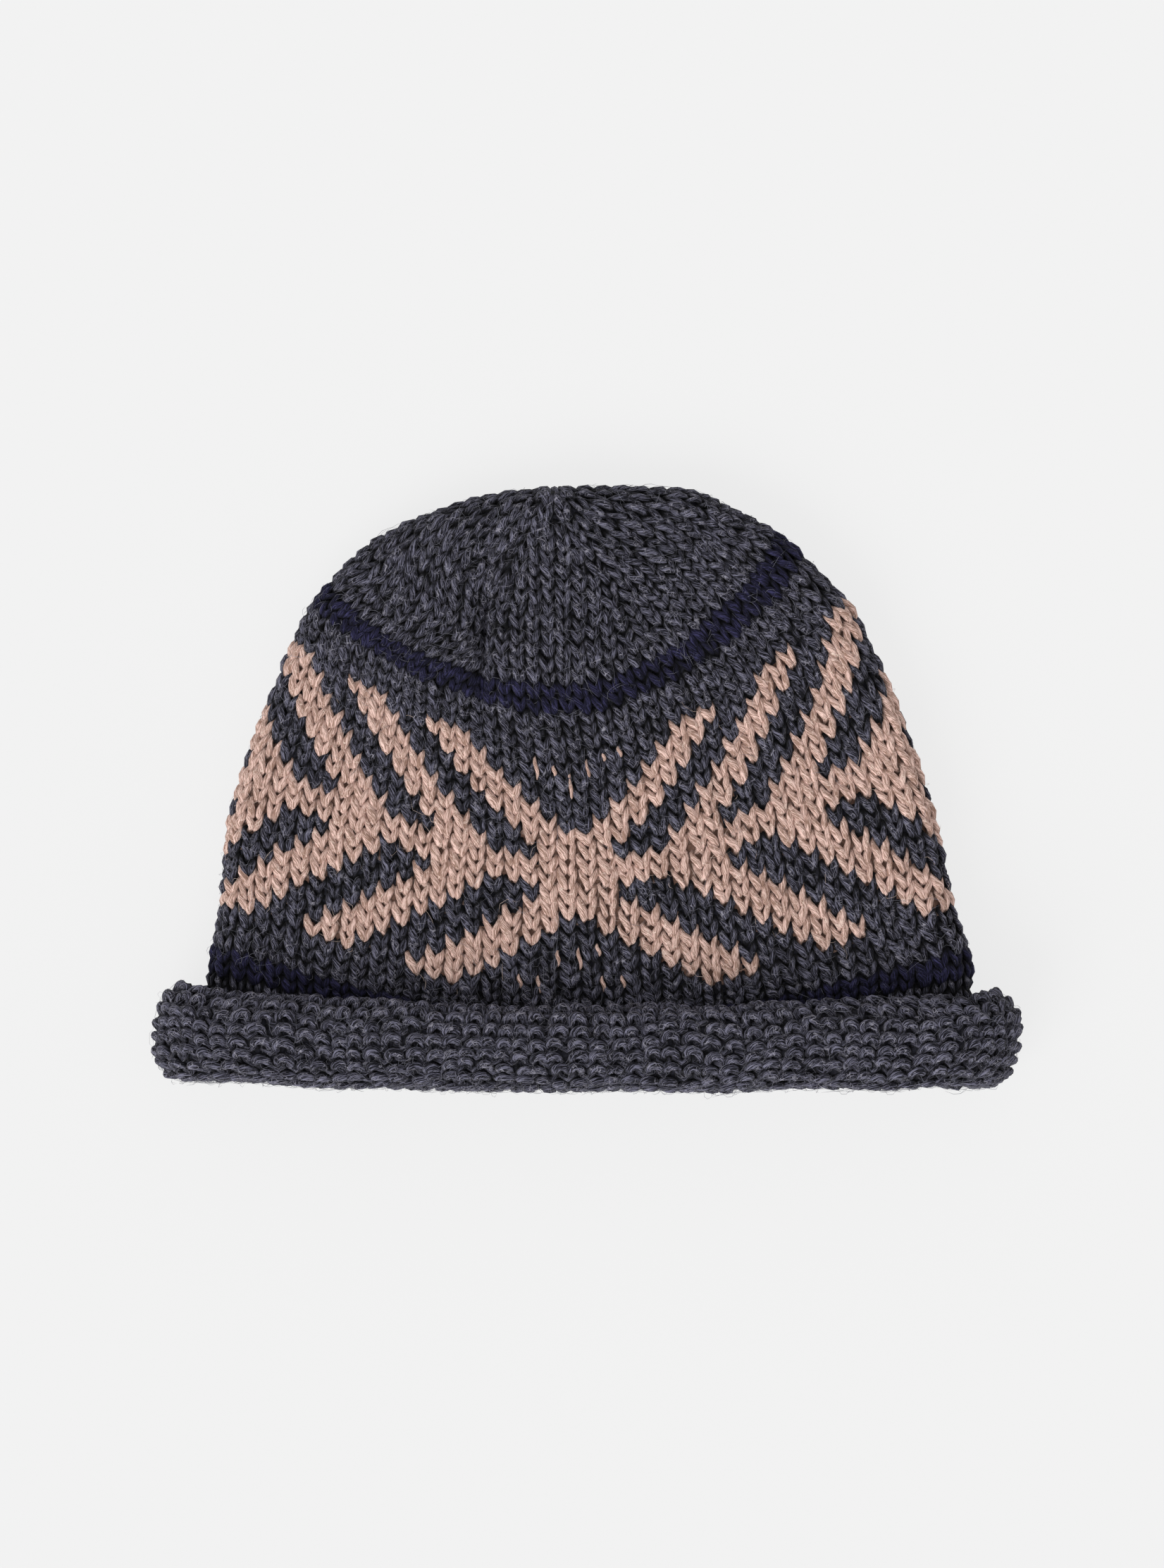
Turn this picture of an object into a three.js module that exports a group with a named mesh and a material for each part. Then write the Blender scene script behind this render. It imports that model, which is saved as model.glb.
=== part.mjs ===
import * as THREE from "three";

// A hand-knitted watch cap with a rolled brim, lying on its back as it comes off the head. Millimetres.
// X runs across the cap, Y from the mouth to the crown, and Z up from the surface that it lies on.
// The fabric is one knitted wall. Its rows are numbered from the turn at the mouth to the gathered pole.

const FABRIC = 4.8;
const HALF_FABRIC = FABRIC / 2;
const JOIN_GAP = 0.3;

// Rows at which the yarn changes, or the shape does.
const BRIM_ROW = 0;
const LOWER_STRIPE_ROW = 5;
const SIDE_ROW = 7;
const UPPER_STRIPE_ROW = 31;
const CROWN_ROW = 33;
const POLE = { row: 47.5, x: -10.2, y: 97.9 };

// Where each row runs on the flattened cap: its middle, the left fold and the right fold.
// swell and round set how it bows between them, from a parabola to a quarter circle.
const ROWS = [
  { row: 0, midX: -2.0, midY: -83.4, leftX: -122.8, leftY: -79.0, rightX: 123.2, rightY: -80.6, swell: 0.0, round: 0.0 },
  { row: 4, midX: -2.0, midY: -77.5, leftX: -122.2, leftY: -65.0, rightX: 124.4, rightY: -66.0, swell: 0.1, round: 0.0 },
  { row: 6.5, midX: -1.8, midY: -74.6, leftX: -120.6, leftY: -53.5, rightX: 124.8, rightY: -55.0, swell: 0.1, round: 0.0 },
  { row: 10, midX: -1.5, midY: -69.0, leftX: -118.0, leftY: -38.9, rightX: 119.4, rightY: -39.3, swell: 0.15, round: 0.0 },
  { row: 18, midX: -2.2, midY: -32.9, leftX: -113.8, leftY: -4.4, rightX: 110.8, rightY: 0.2, swell: 0.97, round: 0.0 },
  { row: 27, midX: -5.0, midY: 7.8, leftX: -96.4, leftY: 42.6, rightX: 88.4, rightY: 54.6, swell: 0.35, round: 0.05 },
  { row: 31, midX: -8.0, midY: 24.2, leftX: -88.3, leftY: 59.8, rightX: 72.2, rightY: 73.9, swell: 0.3, round: 0.3 },
  { row: 33, midX: -9.3, midY: 33.1, leftX: -83.0, leftY: 66.2, rightX: 62.2, rightY: 82.6, swell: 0.2, round: 0.4 },
  { row: 36, midX: -9.3, midY: 46.7, leftX: -66.6, leftY: 81.8, rightX: 47.8, rightY: 90.6, swell: 0.1, round: 0.7 },
  { row: 40, midX: -9.5, midY: 64.0, leftX: -47.2, leftY: 90.6, rightX: 29.6, rightY: 95.8, swell: 0.0, round: 1.0 },
  { row: 45, midX: -10.0, midY: 86.2, leftX: -23.2, leftY: 96.4, rightX: 3.0, rightY: 97.6, swell: 0.0, round: 1.0 },
  { row: 47.5, midX: -10.2, midY: 97.9, leftX: -10.2, leftY: 97.9, rightX: -10.2, rightY: 97.9, swell: 0.0, round: 1.0 },
];

// Heights of the back and front walls' middles: propped on the roll at the mouth, and down on the surface beyond it.
const LEVELS = [
  { y: -100, back: 12.6, front: 28.4 },
  { y: -84, back: 12.6, front: 28.8 },
  { y: -68, back: 12.6, front: 28.8 },
  { y: -50, back: 8.6, front: 27.8 },
  { y: -30, back: 4.8, front: 26.6 },
  { y: -10, back: 2.8, front: 25.7 },
  { y: 10, back: HALF_FABRIC, front: 25.0 },
  { y: 60, back: HALF_FABRIC, front: 23.8 },
  { y: 100, back: HALF_FABRIC, front: 22.4 },
];

// How far in from the cap's edge the side fold begins to turn from the front wall to the back.
const FOLD_WIDTH = 6.5;

// How much lower the front wall lies beside its folds than along its middle.
const FRONT_SLOPE = 2.0;

// How far the back wall has slipped towards the mouth there, and the row at which that has died out.
const BACK_SLIP = 2.4;
const SLIP_END_ROW = 12;

// Creases pressed into the front wall: middle, half length along the crease, half width, depth, and its lean from Y.
const DENTS = [
  { x: -36, y: 46, long: 26, wide: 6.5, deep: 3.0, lean: 0.2 },
  { x: -52, y: 64, long: 22, wide: 14, deep: 1.2, lean: -0.9 },
  { x: 24, y: -54, long: 60, wide: 10, deep: 1.2, lean: 1.5 },
];

// The rolled brim is a spiral of the same fabric. Its half height lies along the wall, its thickness stands out from it.
// Columns are for the middle of the front, the side folds and the middle of the back.
const ROLL = { frontHigh: 11.7, sideHigh: 13.8, backHigh: 11.9, frontThick: 18.6, sideThick: 16.9, backThick: 10.8 };
const ROLL_TURNS = 1.2;
const ROLL_STEPS = 18;
const ROLL_SQUARE = 0.86;

// Where along the spiral, in half turns, its end leaves the outer layer to lie inside it.
const TUCK_ACROSS = [1.2, 1.6];
const TUCK_ALONG = [1.5, 2.0];
const TUCK_DEPTH = FABRIC + 0.6;

// Fabric that comes nearer than this to the surface that the cap lies on is pressed flat on it.
const PRESSED = 0.5;

// Steps of a quarter of each row: along the flat, then round the fold.
const FLAT_STEPS = 6;
const FOLD_STEPS = 5;
const QUARTER = FLAT_STEPS + FOLD_STEPS;
const AROUND = 4 * QUARTER;
const CURVE_SAMPLES = 24;

/** A column of a table at any place between its rows, on a smooth curve through them. */
function column(table, key, place, name) {
  let i = table.findIndex((line) => line[key] > place);
  i = i < 0 ? table.length - 2 : Math.max(0, i - 1);
  const slope = (n) => {
    const before = table[Math.max(0, n - 1)];
    const after = table[Math.min(table.length - 1, n + 1)];
    return (after[name] - before[name]) / (after[key] - before[key]);
  };
  const span = table[i + 1][key] - table[i][key];
  const t = THREE.MathUtils.clamp((place - table[i][key]) / span, 0, 1);
  const start = table[i][name];
  const end = table[i + 1][name];
  const rise = slope(i) * span;
  const run = slope(i + 1) * span;
  return start + t * rise + t * t * (3 * (end - start) - 2 * rise - run) + t * t * t * (2 * (start - end) + rise + run);
}

/** Half of a row seen from above, from the cap's middle to one fold. hand is 1 for the right and -1 for the left. */
function halfRow(row, hand) {
  const side = hand > 0 ? "right" : "left";
  const midX = column(ROWS, "row", row, "midX");
  const midY = column(ROWS, "row", row, "midY");
  const reach = column(ROWS, "row", row, `${side}X`) - midX;
  const rise = column(ROWS, "row", row, `${side}Y`) - midY;
  const swell = column(ROWS, "row", row, "swell");
  const round = column(ROWS, "row", row, "round");
  const points = [];
  for (let i = 0; i <= CURVE_SAMPLES; i++) {
    const share = Math.sin((i / CURVE_SAMPLES) * (Math.PI / 2));
    const bowl = share * share * (1 + swell * (1 - share * share));
    const arc = 1 - Math.sqrt(Math.max(0, 1 - share * share));
    points.push(new THREE.Vector2(midX + reach * share, midY + rise * ((1 - round) * bowl + round * arc)));
  }
  return new THREE.SplineCurve(points);
}

/** How far the creases press the front wall down at a point. */
function dentDepth(x, y) {
  let depth = 0;
  for (const dent of DENTS) {
    const along = (y - dent.y) * Math.cos(dent.lean) + (x - dent.x) * Math.sin(dent.lean);
    const across = (x - dent.x) * Math.cos(dent.lean) - (y - dent.y) * Math.sin(dent.lean);
    depth += dent.deep * Math.exp(-((along / dent.long) ** 2) - (across / dent.wide) ** 2);
  }
  return depth;
}

/** The middle of the fabric at one row and one step round the cap, counted from the middle of the front to the right. */
function fabricPoint(row, step) {
  const place = ((step % AROUND) + AROUND) % AROUND;
  const onFront = place <= QUARTER || place >= 3 * QUARTER;
  const hand = place <= 2 * QUARTER ? 1 : -1;
  const quarterStep = [place, 2 * QUARTER - place, place - 2 * QUARTER, AROUND - place][Math.floor(place / QUARTER)];
  const curve = halfRow(row, hand);
  const length = curve.getLength();
  const midY = column(ROWS, "row", row, "midY");
  const foldWidth = Math.min(FOLD_WIDTH, 0.85 * length);
  const angle = (Math.max(0, quarterStep - FLAT_STEPS) / FOLD_STEPS) * (Math.PI / 2);
  const flat = ((length - foldWidth) * Math.min(quarterStep, FLAT_STEPS)) / FLAT_STEPS;
  const travelled = (flat + foldWidth * Math.sin(angle)) / length;
  const plan = curve.getPointAt(Math.min(1, travelled));
  const back = column(LEVELS, "y", plan.y, "back");
  const front = column(LEVELS, "y", plan.y, "front");
  const fromPole = THREE.MathUtils.clamp((POLE.y - midY) / foldWidth, 0, 1);
  const dome = Math.sqrt(1 - (1 - fromPole) ** 2);
  const swing = Math.cos(angle) * dome;
  const crease = onFront ? FRONT_SLOPE * travelled ** 2 + dentDepth(plan.x, plan.y) : 0;
  const half = (front - back) / 2;
  const height = (back + front) / 2 + (onFront ? half - crease : -half) * swing;
  const slip = onFront ? 0 : BACK_SLIP * swing * THREE.MathUtils.clamp(1 - row / SLIP_END_ROW, 0, 1);
  return new THREE.Vector3(plan.x, plan.y - slip, height);
}

/** The fabric's place, its outward normal and the direction in it that leads square off its row towards the crown. */
function fabricFrame(row, step) {
  const point = fabricPoint(row, step);
  const last = POLE.row - 0.2;
  const alongWale = fabricPoint(Math.min(last, row + 0.3), step).sub(fabricPoint(row - 0.3, step));
  const alongRow = fabricPoint(row, step + 1).sub(fabricPoint(row, step - 1)).normalize();
  const normal = new THREE.Vector3().crossVectors(alongRow, alongWale).normalize();
  const crownward = new THREE.Vector3().crossVectors(normal, alongRow);
  return { point, normal, crownward };
}

/** A vertex, pressed flat on the surface that the cap lies on if it would come near it. */
function rested(point) {
  if (point.z < PRESSED) point.z = 0;
  return point;
}

/**
 * A closed mesh from loops of points round the cap. The last loop joins the first, or each end has a cap point.
 * The span after loop lowerEnd is split the other way, so that a ring's end matches the ring that it meets.
 */
function meshFromLoops(loops, { caps = [], lowerEnd = -1 } = {}) {
  const count = loops[0].length;
  const corners = [...loops.flat(), ...caps];
  const faces = [];
  const spans = caps.length ? loops.length - 1 : loops.length;
  for (let i = 0; i < spans; i++) {
    const here = i * count;
    const next = ((i + 1) % loops.length) * count;
    for (let j = 0; j < count; j++) {
      const k = (j + 1) % count;
      if (i === lowerEnd) faces.push(here + j, here + k, next + j, here + k, next + k, next + j);
      else faces.push(here + j, here + k, next + k, here + j, next + k, next + j);
    }
  }
  if (caps.length) {
    const last = (loops.length - 1) * count;
    for (let j = 0; j < count; j++) {
      const k = (j + 1) % count;
      faces.push(corners.length - 2, k, j, corners.length - 1, last + j, last + k);
    }
  }
  const geometry = new THREE.BufferGeometry().setFromPoints(corners);
  geometry.setIndex(faces);
  geometry.computeVertexNormals();
  return geometry;
}

/** Both faces of the fabric all round the cap at one row. inset moves the row along the wall, to leave a join's gap. */
function wallLoops(row, inset) {
  const outer = [];
  const inner = [];
  for (let step = 0; step < AROUND; step++) {
    const { point, normal, crownward } = fabricFrame(row, step);
    const middle = point.clone().addScaledVector(crownward, inset);
    outer.push(rested(middle.clone().addScaledVector(normal, HALF_FABRIC)));
    inner.push(middle.clone().addScaledVector(normal, -HALF_FABRIC));
  }
  return { outer, inner };
}

/** Rows from one to another, with those in between evenly spaced. */
function rowsBetween(from, to, count) {
  return Array.from({ length: count + 1 }, (_, i) => from + ((to - from) * i) / count);
}

/** A ring of the wall, open at both ends. */
function wallRing(from, to, count) {
  const rows = rowsBetween(from, to, count);
  const loops = rows.map((row, i) => {
    const inset = i === 0 ? JOIN_GAP / 2 : i === rows.length - 1 ? -JOIN_GAP / 2 : 0;
    return wallLoops(row, inset);
  });
  const around = [...loops.map((loop) => loop.outer), ...loops.map((loop) => loop.inner).reverse()];
  return meshFromLoops(around, { lowerEnd: around.length - 1 });
}

/** The crown: a bowl of fabric that closes at the gathered pole. */
function crownBowl() {
  const rows = [...rowsBetween(CROWN_ROW, 45, 6), 46.2, 47.0];
  const loops = rows.map((row, i) => wallLoops(row, i === 0 ? JOIN_GAP / 2 : 0));
  const poleHeight = (column(LEVELS, "y", POLE.y, "front") + column(LEVELS, "y", POLE.y, "back")) / 2;
  const start = new THREE.Vector3(POLE.x, POLE.y - HALF_FABRIC, poleHeight);
  const end = new THREE.Vector3(POLE.x, POLE.y + HALF_FABRIC, poleHeight);
  const inner = loops.map((loop) => loop.inner).reverse();
  const outer = loops.map((loop) => loop.outer);
  return meshFromLoops([...inner, ...outer], { caps: [start, end], lowerEnd: inner.length - 1 });
}

/** The roll's half height and thickness at a step round the cap, blended between the front, sides and back. */
function rollSize(step) {
  const place = ((step % AROUND) + AROUND) % AROUND;
  const facing = Math.cos((place / AROUND) * 2 * Math.PI);
  const ease = facing * facing;
  const end = facing > 0 ? "front" : "back";
  return {
    high: ROLL.sideHigh + (ROLL[`${end}High`] - ROLL.sideHigh) * ease,
    thick: ROLL.sideThick + (ROLL[`${end}Thick`] - ROLL.sideThick) * ease,
  };
}

/** A power of a number's size, with its sign kept. */
function signedPower(value, power) {
  return Math.sign(value) * Math.abs(value) ** power;
}

/** The middle line of the brim's fabric, from the wall down round the mouth and up into the roll. */
function brimPath(step) {
  const { high, thick } = rollSize(step);
  const path = [];
  for (const row of [LOWER_STRIPE_ROW, 2.5]) {
    const { point, normal, crownward } = fabricFrame(row, step);
    const middle = point.clone().addScaledVector(crownward, row === LOWER_STRIPE_ROW ? -JOIN_GAP / 2 : 0);
    path.push({ middle, normal });
  }
  const { point, normal, crownward } = fabricFrame(BRIM_ROW, step);
  const down = crownward.negate();
  for (let i = 0; i <= ROLL_STEPS; i++) {
    const angle = (i / ROLL_STEPS) * ROLL_TURNS * 2 * Math.PI;
    const across = thick / 2 - TUCK_DEPTH * THREE.MathUtils.smoothstep(angle / Math.PI, ...TUCK_ACROSS);
    const along = high - TUCK_DEPTH * THREE.MathUtils.smoothstep(angle / Math.PI, ...TUCK_ALONG);
    const middle = point
      .clone()
      .addScaledVector(normal, thick / 2 - across * signedPower(Math.cos(angle), ROLL_SQUARE))
      .addScaledVector(down, along * signedPower(Math.sin(angle), ROLL_SQUARE));
    const facing = new THREE.Vector3()
      .addScaledVector(normal, along * signedPower(Math.cos(angle), 2 - ROLL_SQUARE))
      .addScaledVector(down, -across * signedPower(Math.sin(angle), 2 - ROLL_SQUARE))
      .normalize();
    path.push({ middle, normal: facing });
  }
  return path;
}

/** The rolled brim: a spiral of fabric all the way round the mouth. */
function rolledBrim() {
  const paths = Array.from({ length: AROUND }, (_, step) => brimPath(step));
  const face = (i, side) => paths.map((path) => rested(path[i].middle.clone().addScaledVector(path[i].normal, side)));
  const knitSide = paths[0].map((_, i) => face(i, HALF_FABRIC)).reverse();
  const purlSide = paths[0].map((_, i) => face(i, -HALF_FABRIC));
  return meshFromLoops([...knitSide, ...purlSide]);
}

function yarn(color) {
  return new THREE.MeshStandardMaterial({ color, roughness: 0.95, metalness: 0 });
}

const charcoal = 0x3b3e46;
const navy = 0x1d1b3a;

const pieces = [
  { name: "rolled_brim", geometry: rolledBrim(), color: charcoal },
  { name: "lower_stripe", geometry: wallRing(LOWER_STRIPE_ROW, SIDE_ROW, 1), color: navy },
  { name: "side_wall", geometry: wallRing(SIDE_ROW, UPPER_STRIPE_ROW, 9), color: charcoal },
  { name: "upper_stripe", geometry: wallRing(UPPER_STRIPE_ROW, CROWN_ROW, 1), color: navy },
  { name: "crown", geometry: crownBowl(), color: charcoal },
];

const cap = new THREE.Group();
for (const { name, geometry, color } of pieces) {
  const mesh = new THREE.Mesh(geometry, yarn(color));
  mesh.name = name;
  cap.add(mesh);
}

export default cap;
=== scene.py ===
import math

import bpy
import numpy as np
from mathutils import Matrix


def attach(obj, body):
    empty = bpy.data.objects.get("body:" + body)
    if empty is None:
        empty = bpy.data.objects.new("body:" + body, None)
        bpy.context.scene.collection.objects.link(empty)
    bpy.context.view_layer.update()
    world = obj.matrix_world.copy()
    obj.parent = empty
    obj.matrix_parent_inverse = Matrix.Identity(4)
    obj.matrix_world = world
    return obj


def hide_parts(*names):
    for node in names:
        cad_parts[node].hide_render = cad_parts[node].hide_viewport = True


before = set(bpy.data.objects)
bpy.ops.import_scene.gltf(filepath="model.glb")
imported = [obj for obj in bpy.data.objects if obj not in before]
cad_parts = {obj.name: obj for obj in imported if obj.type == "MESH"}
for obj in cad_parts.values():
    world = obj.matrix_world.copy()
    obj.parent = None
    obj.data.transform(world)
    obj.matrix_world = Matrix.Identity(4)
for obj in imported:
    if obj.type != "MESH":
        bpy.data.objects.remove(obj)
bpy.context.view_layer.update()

bl_info = {
    "name": "Watch Cap",
    "version": (1, 0, 0),
    "blender": (4, 5, 0),
    "location": "View3D > Sidebar > Watch Cap",
    "description": "Knits a watch cap with a rolled brim, stitch by stitch, and lays it on a studio floor",
    "category": "Add Mesh",
}

# Lengths in these tables and constants are in millimetres, and meshes are made in metres.
MILLIMETRE = 0.001

# The fabric has 84 columns of stitches, which knitters call wales. The wall's
# rows are numbered from the turn at the mouth up to the gathered pole.
WALES = 84
HALF_WALES = WALES // 2
POLE_Y = 97.9
LAST_ROW = 47.3

# Where each row runs on the flattened cap: its middle, the left fold and the right fold.
# swell and round set how it bows between them, from a parabola to a quarter circle.
ROW_COLUMNS = ("row", "mid_x", "mid_y", "left_x", "left_y", "right_x", "right_y", "swell", "round")
ROWS = np.array(
    (
        (0, -2.0, -83.4, -122.8, -79.0, 123.2, -80.6, 0.0, 0.0),
        (4, -2.0, -77.5, -122.2, -65.0, 124.4, -66.0, 0.1, 0.0),
        (6.5, -1.8, -74.6, -120.6, -53.5, 124.8, -55.0, 0.1, 0.0),
        (10, -1.5, -69.0, -118.0, -38.9, 119.4, -39.3, 0.5, 0.0),
        (18, -2.2, -32.9, -113.8, -4.4, 110.8, 0.2, 0.97, 0.0),
        (27, -5.0, 7.8, -96.4, 42.6, 88.4, 54.6, 0.35, 0.05),
        (31, -8.0, 24.2, -88.3, 59.8, 72.2, 73.9, 0.3, 0.3),
        (33, -9.3, 33.1, -83.0, 66.2, 62.2, 82.6, 0.2, 0.4),
        (36, -9.3, 46.7, -71.1, 78.2, 47.8, 90.6, 0.1, 0.7),
        (40, -9.5, 64.0, -51.5, 89.1, 33.5, 97.0, 0.0, 1.0),
        (45, -10.0, 86.2, -24.2, 96.2, 4.5, 97.8, 0.0, 1.0),
        (47.5, -10.2, 97.9, -10.2, 97.9, -10.2, 97.9, 0.0, 1.0),
    )
)

# Heights of the back and front walls' middles: propped
# on the roll at the mouth, and down on the floor beyond.
LEVEL_COLUMNS = ("y", "back", "front")
LEVELS = np.array(
    (
        (-100, 12.6, 28.4),
        (-84, 12.6, 28.8),
        (-68, 12.6, 28.8),
        (-50, 8.6, 27.8),
        (-30, 4.8, 26.6),
        (-10, 2.8, 25.7),
        (10, 2.4, 25.0),
        (60, 2.4, 23.8),
        (100, 2.4, 22.4),
    )
)

# How wide the turn at a fold is, how much of a short row it may take up, how far the front drops towards
# it, and how far the back of the mouth has slipped down, up to the row where that ends.
FOLD_WIDTH = 6.5
MOST_FOLDED = 0.85
FRONT_SLOPE = 2.0
BACK_SLIP = 2.4
SLIP_END_ROW = 12

# How a quarter of a row is traced: the points along it as seen from above, the points of its flat part
# and of its turn round the fold, and how the quarter is shared out between those two.
PLAN_POINTS = 121
FLAT_POINTS = 61
TURN_POINTS = 25
FLAT_PARTS = 6
TURN_PARTS = 5

# Creases pressed into the front wall: middle x and y,
# half length, half width, depth, and the lean from Y.
DENTS = (
    (-36, 46, 26, 6.5, 3.0, 0.2),
    (-32.6, 49, 16, 2.6, 9.0, 0.04),
    (-52, 64, 22, 14, 1.2, -0.9),
    (24, -54, 60, 10, 1.2, 1.5),
)

# Wales stand wider apart in the middle of the cap than at its folds, by these shares at these rows.
SPREAD_ROWS = (0, 8, 17, 31, 40, 47.5)
SPREAD = (0.06, 0.1, 0.06, 0.11, 0.05, 0.0)

# The rolled brim is a spiral of the same fabric. Its half height lies
# along the wall, its thickness stands out from it, and its inner turn
# is tucked in by TUCK_DEPTH between these half turns, across and along.
ROLL_HIGH = {"front": 11.7, "side": 13.8, "back": 11.9}
ROLL_THICK = {"front": 18.6, "side": 16.9, "back": 10.8}
ROLL_TURNS = 1.2
ROLL_SQUARE = 0.86
ROLL_POINTS = 241
TUCK_ACROSS = (1.2, 1.6)
TUCK_ALONG = (1.5, 2.0)
TUCK_DEPTH = 5.4
ROLL_WALES = 100
ROLL_ROWS = 18

# How finely a cloth is sampled: places for each wale and for each row. BELOW_LAST is how far from the
# count of rows the last place is that still has a row above it.
PER_WALE = 4
PER_ROW = 4
BELOW_LAST = 1.001

# How far the stitches drift across, up and out of their places, in
# wales, rows and millimetres, and the waves that make up each drift: how
# many, how often they go round the cap, and how steep they are in a row.
WALL_DRIFT = (0.07, 0.08, 0.15)
ROLL_DRIFT = (0.2, 0.26, 0.45)
DRIFT_WAVES = 12
DRIFT_TURNS = (3, 20)
DRIFT_RISES = (0.15, 1.0)

# The segments along each stitch's yarn and the sides round
# it, where it is seen close, from behind, and never.
FINE = (14, 8)
PLAIN = (10, 6)
HIDDEN = (8, 5)
HALVES = ("front", "back")
DETAIL = {"all round": FINE, "front": FINE, "back": PLAIN}

# The rows in which the yarn changes.
LOWER_STRIPE_ROWS = (5, 6)
UPPER_STRIPE_ROWS = (31, 32)

# The crown is knitted in sectors that lose stitches at
# both sides. The counts start at the crown's first row.
CROWN_ROW = 33
TOP_ROW = 46
SECTORS = 7
SECTOR_STITCHES = (12, 12, 10, 10, 10, 8, 8, 8, 6, 6, 4, 4, 2, 2, 2)
CROWN_STITCH_WIDTH = 4.9
# How thick the yarn lies in the crown, where the stitches
# are drawn together, as a share of the wall's yarn.
CROWN_YARN_SHARE = 0.95

# The motif, charted from its top row down: five columns beside the cap's middle, then a repeat of six.
MOTIF_TOP_ROW = 27
MOTIF_MIDDLE = 5
MOTIF_REPEAT = 6
MOTIF = (
    (".....", ".ooo.."),
    (".....", "ooo..."),
    ("....o", "oo...o"),
    ("...oo", "o...oo"),
    ("..ooo", "...ooo"),
    (".ooo.", "..ooo."),
    ("ooo..", ".ooo.."),
    ("oo...", "ooo..."),
    ("ooooo", "oooooo"),
    ("ooooo", "oooooo"),
    ("oo...", "ooo..."),
    ("ooo..", ".ooo.."),
    (".ooo.", "..ooo."),
    ("..ooo", "...ooo"),
    ("...oo", "o...oo"),
    ("....o", "oo...o"),
    (".....", "ooo..."),
    (".....", ".ooo.."),
)

# Places where the beige yarn carried behind the charcoal
# stitches peeps out: wale, row, and length in rows.
GLIMPSES = (
    (-2.05, 25.8, 1.9),
    (-1.05, 26.1, 1.0),
    (-0.13, 24.5, 2.0),
    (0.92, 25.9, 1.5),
    (1.9, 27.1, 0.8),
    (2.85, 27.2, 0.9),
    (-1.1, 12.6, 1.3),
    (-2.0, 10.5, 1.4),
    (-3.0, 10.8, 1.1),
    (-0.05, 12.5, 1.7),
    (0.95, 13.5, 0.9),
    (1.0, 10.8, 1.3),
    (2.0, 10.9, 1.1),
)
# How far out of the fabric's middle their yarn shows, how far its ends
# dip and its middle sways, in millimetres and wales, its radius at the
# ends, how much more it has in the middle, and its points and sides.
GLIMPSE_OUT = 1.65
GLIMPSE_DIP = 1.2
GLIMPSE_SWAY = 0.06
GLIMPSE_END_RADIUS = 0.2
GLIMPSE_BULGE = 0.48
GLIMPSE_POINTS = 9
GLIMPSE_SIDES = 8

# The yarn's end that closes the pole: its strands, their middle, pitch, slant, height, swell, which grows
# less towards the outer ones, radius, how far out of the fabric they lie, and their points and sides.
GATHER_STRANDS = 5
GATHER_MIDDLE = (-10.2, 95.5, 12.4)
GATHER_PITCH = 2.3
GATHER_SLANT = 0.25
GATHER_HEIGHT = 20.0
GATHER_SWELL = 3.0
GATHER_TAPER = 0.1
GATHER_RADIUS = 1.3
GATHER_OUT = 1.0
GATHER_POINTS = 13
GATHER_SIDES = 8

# How each kind of stitch is shaped. belly, lean and sway are in wales, centre and rise in rows, and
# lumps, depth, shingle, left_out and radius in millimetres. thin is the yarn's share of its radius away
# from its fattest place, crowding is how much closer its rings stand at the loop's foot, and matting is
# how far its loops are pressed flat at the brim's lower edge.
WALL_LOOK = {
    "belly": 0.272,
    "centre": 0.835,
    "rise": 0.885,
    "arch": 1.0,
    "lean": 0.03,
    "sway": 0.03,
    "lumps": 0.07,
    "crowding": 0.0,
    "depth": 1.1,
    "square": 0.75,
    "shingle": 0.42,
    "left_out": 0.22,
    "radius": 1.32,
    "thin": 0.56,
    "fat_at": 1.85,
    "fat_wide": 0.85,
    "flatten": 0.95,
    "uneven": 1.6,
    "matting": 0.0,
}
ROLL_LOOK = {
    "belly": 0.22,
    "centre": 0.65,
    "rise": 0.92,
    "arch": 1.4,
    "lean": 0.0,
    "sway": 0.075,
    "lumps": 0.16,
    "crowding": 0.45,
    "depth": 1.1,
    "square": 0.8,
    "shingle": -0.55,
    "left_out": 0.0,
    "radius": 1.5,
    "thin": 0.72,
    "fat_at": math.pi,
    "fat_wide": 1.1,
    "flatten": 0.95,
    "uneven": 1.6,
    "matting": 0.6,
}
# The side of each cloth that shows: the wall's outside is
# its knit side, and the rolled brim shows its purl side.
KNIT_SIDE = 1
PURL_SIDE = -1

# The ways in which each stitch differs from the next, in the order in which
# Unevenness holds them, and the ways that the foot between two stitches
# does. MOST_UNEVEN is the largest difference, where 1 is a usual one.
BELLY, SHIFT, REACH, LEFT_OUT, RIGHT_OUT, LEFT_FAT, RIGHT_FAT = range(7)
FOOT_SWAY, FOOT_RISE, FOOT_LUMP = range(3)
STITCH_WAYS = 7
FOOT_WAYS = 3
MOST_UNEVEN = 2
# What a usual difference comes to: a share of the belly, wales, rows for the
# head and the foot, millimetres that a leg comes out, and a share of its
# radius. LEG_SPAN is how far along the loop a leg's own difference reaches.
BELLY_VARIES = 0.08
SHIFT_VARIES = 0.035
REACH_VARIES = 0.07
FOOT_VARIES = 0.06
LEG_OUT_VARIES = 0.14
LEG_FAT_VARIES = 0.09
LEG_SPAN = 0.9

# Yarn that starts a new run is cut from elsewhere along
# its length, so that the streaks of two runs don't match.
YARN_LENGTH = 977.0
ROW_CUT = 0.618
RUN_CUT = 0.377
GATHER_CUT = 53.0
GLIMPSE_CUT = 31.0

# Nothing of the yarn lies lower than this above the floor, and nothing of the web inside the fabric.
LOWEST = 0.03
WEB_LOWEST = 0.5
# How deep in the fabric the web lies: matted fibres whose dark colour is painted shade between the stitches.
WEB_DEPTH = 0.5

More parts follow.
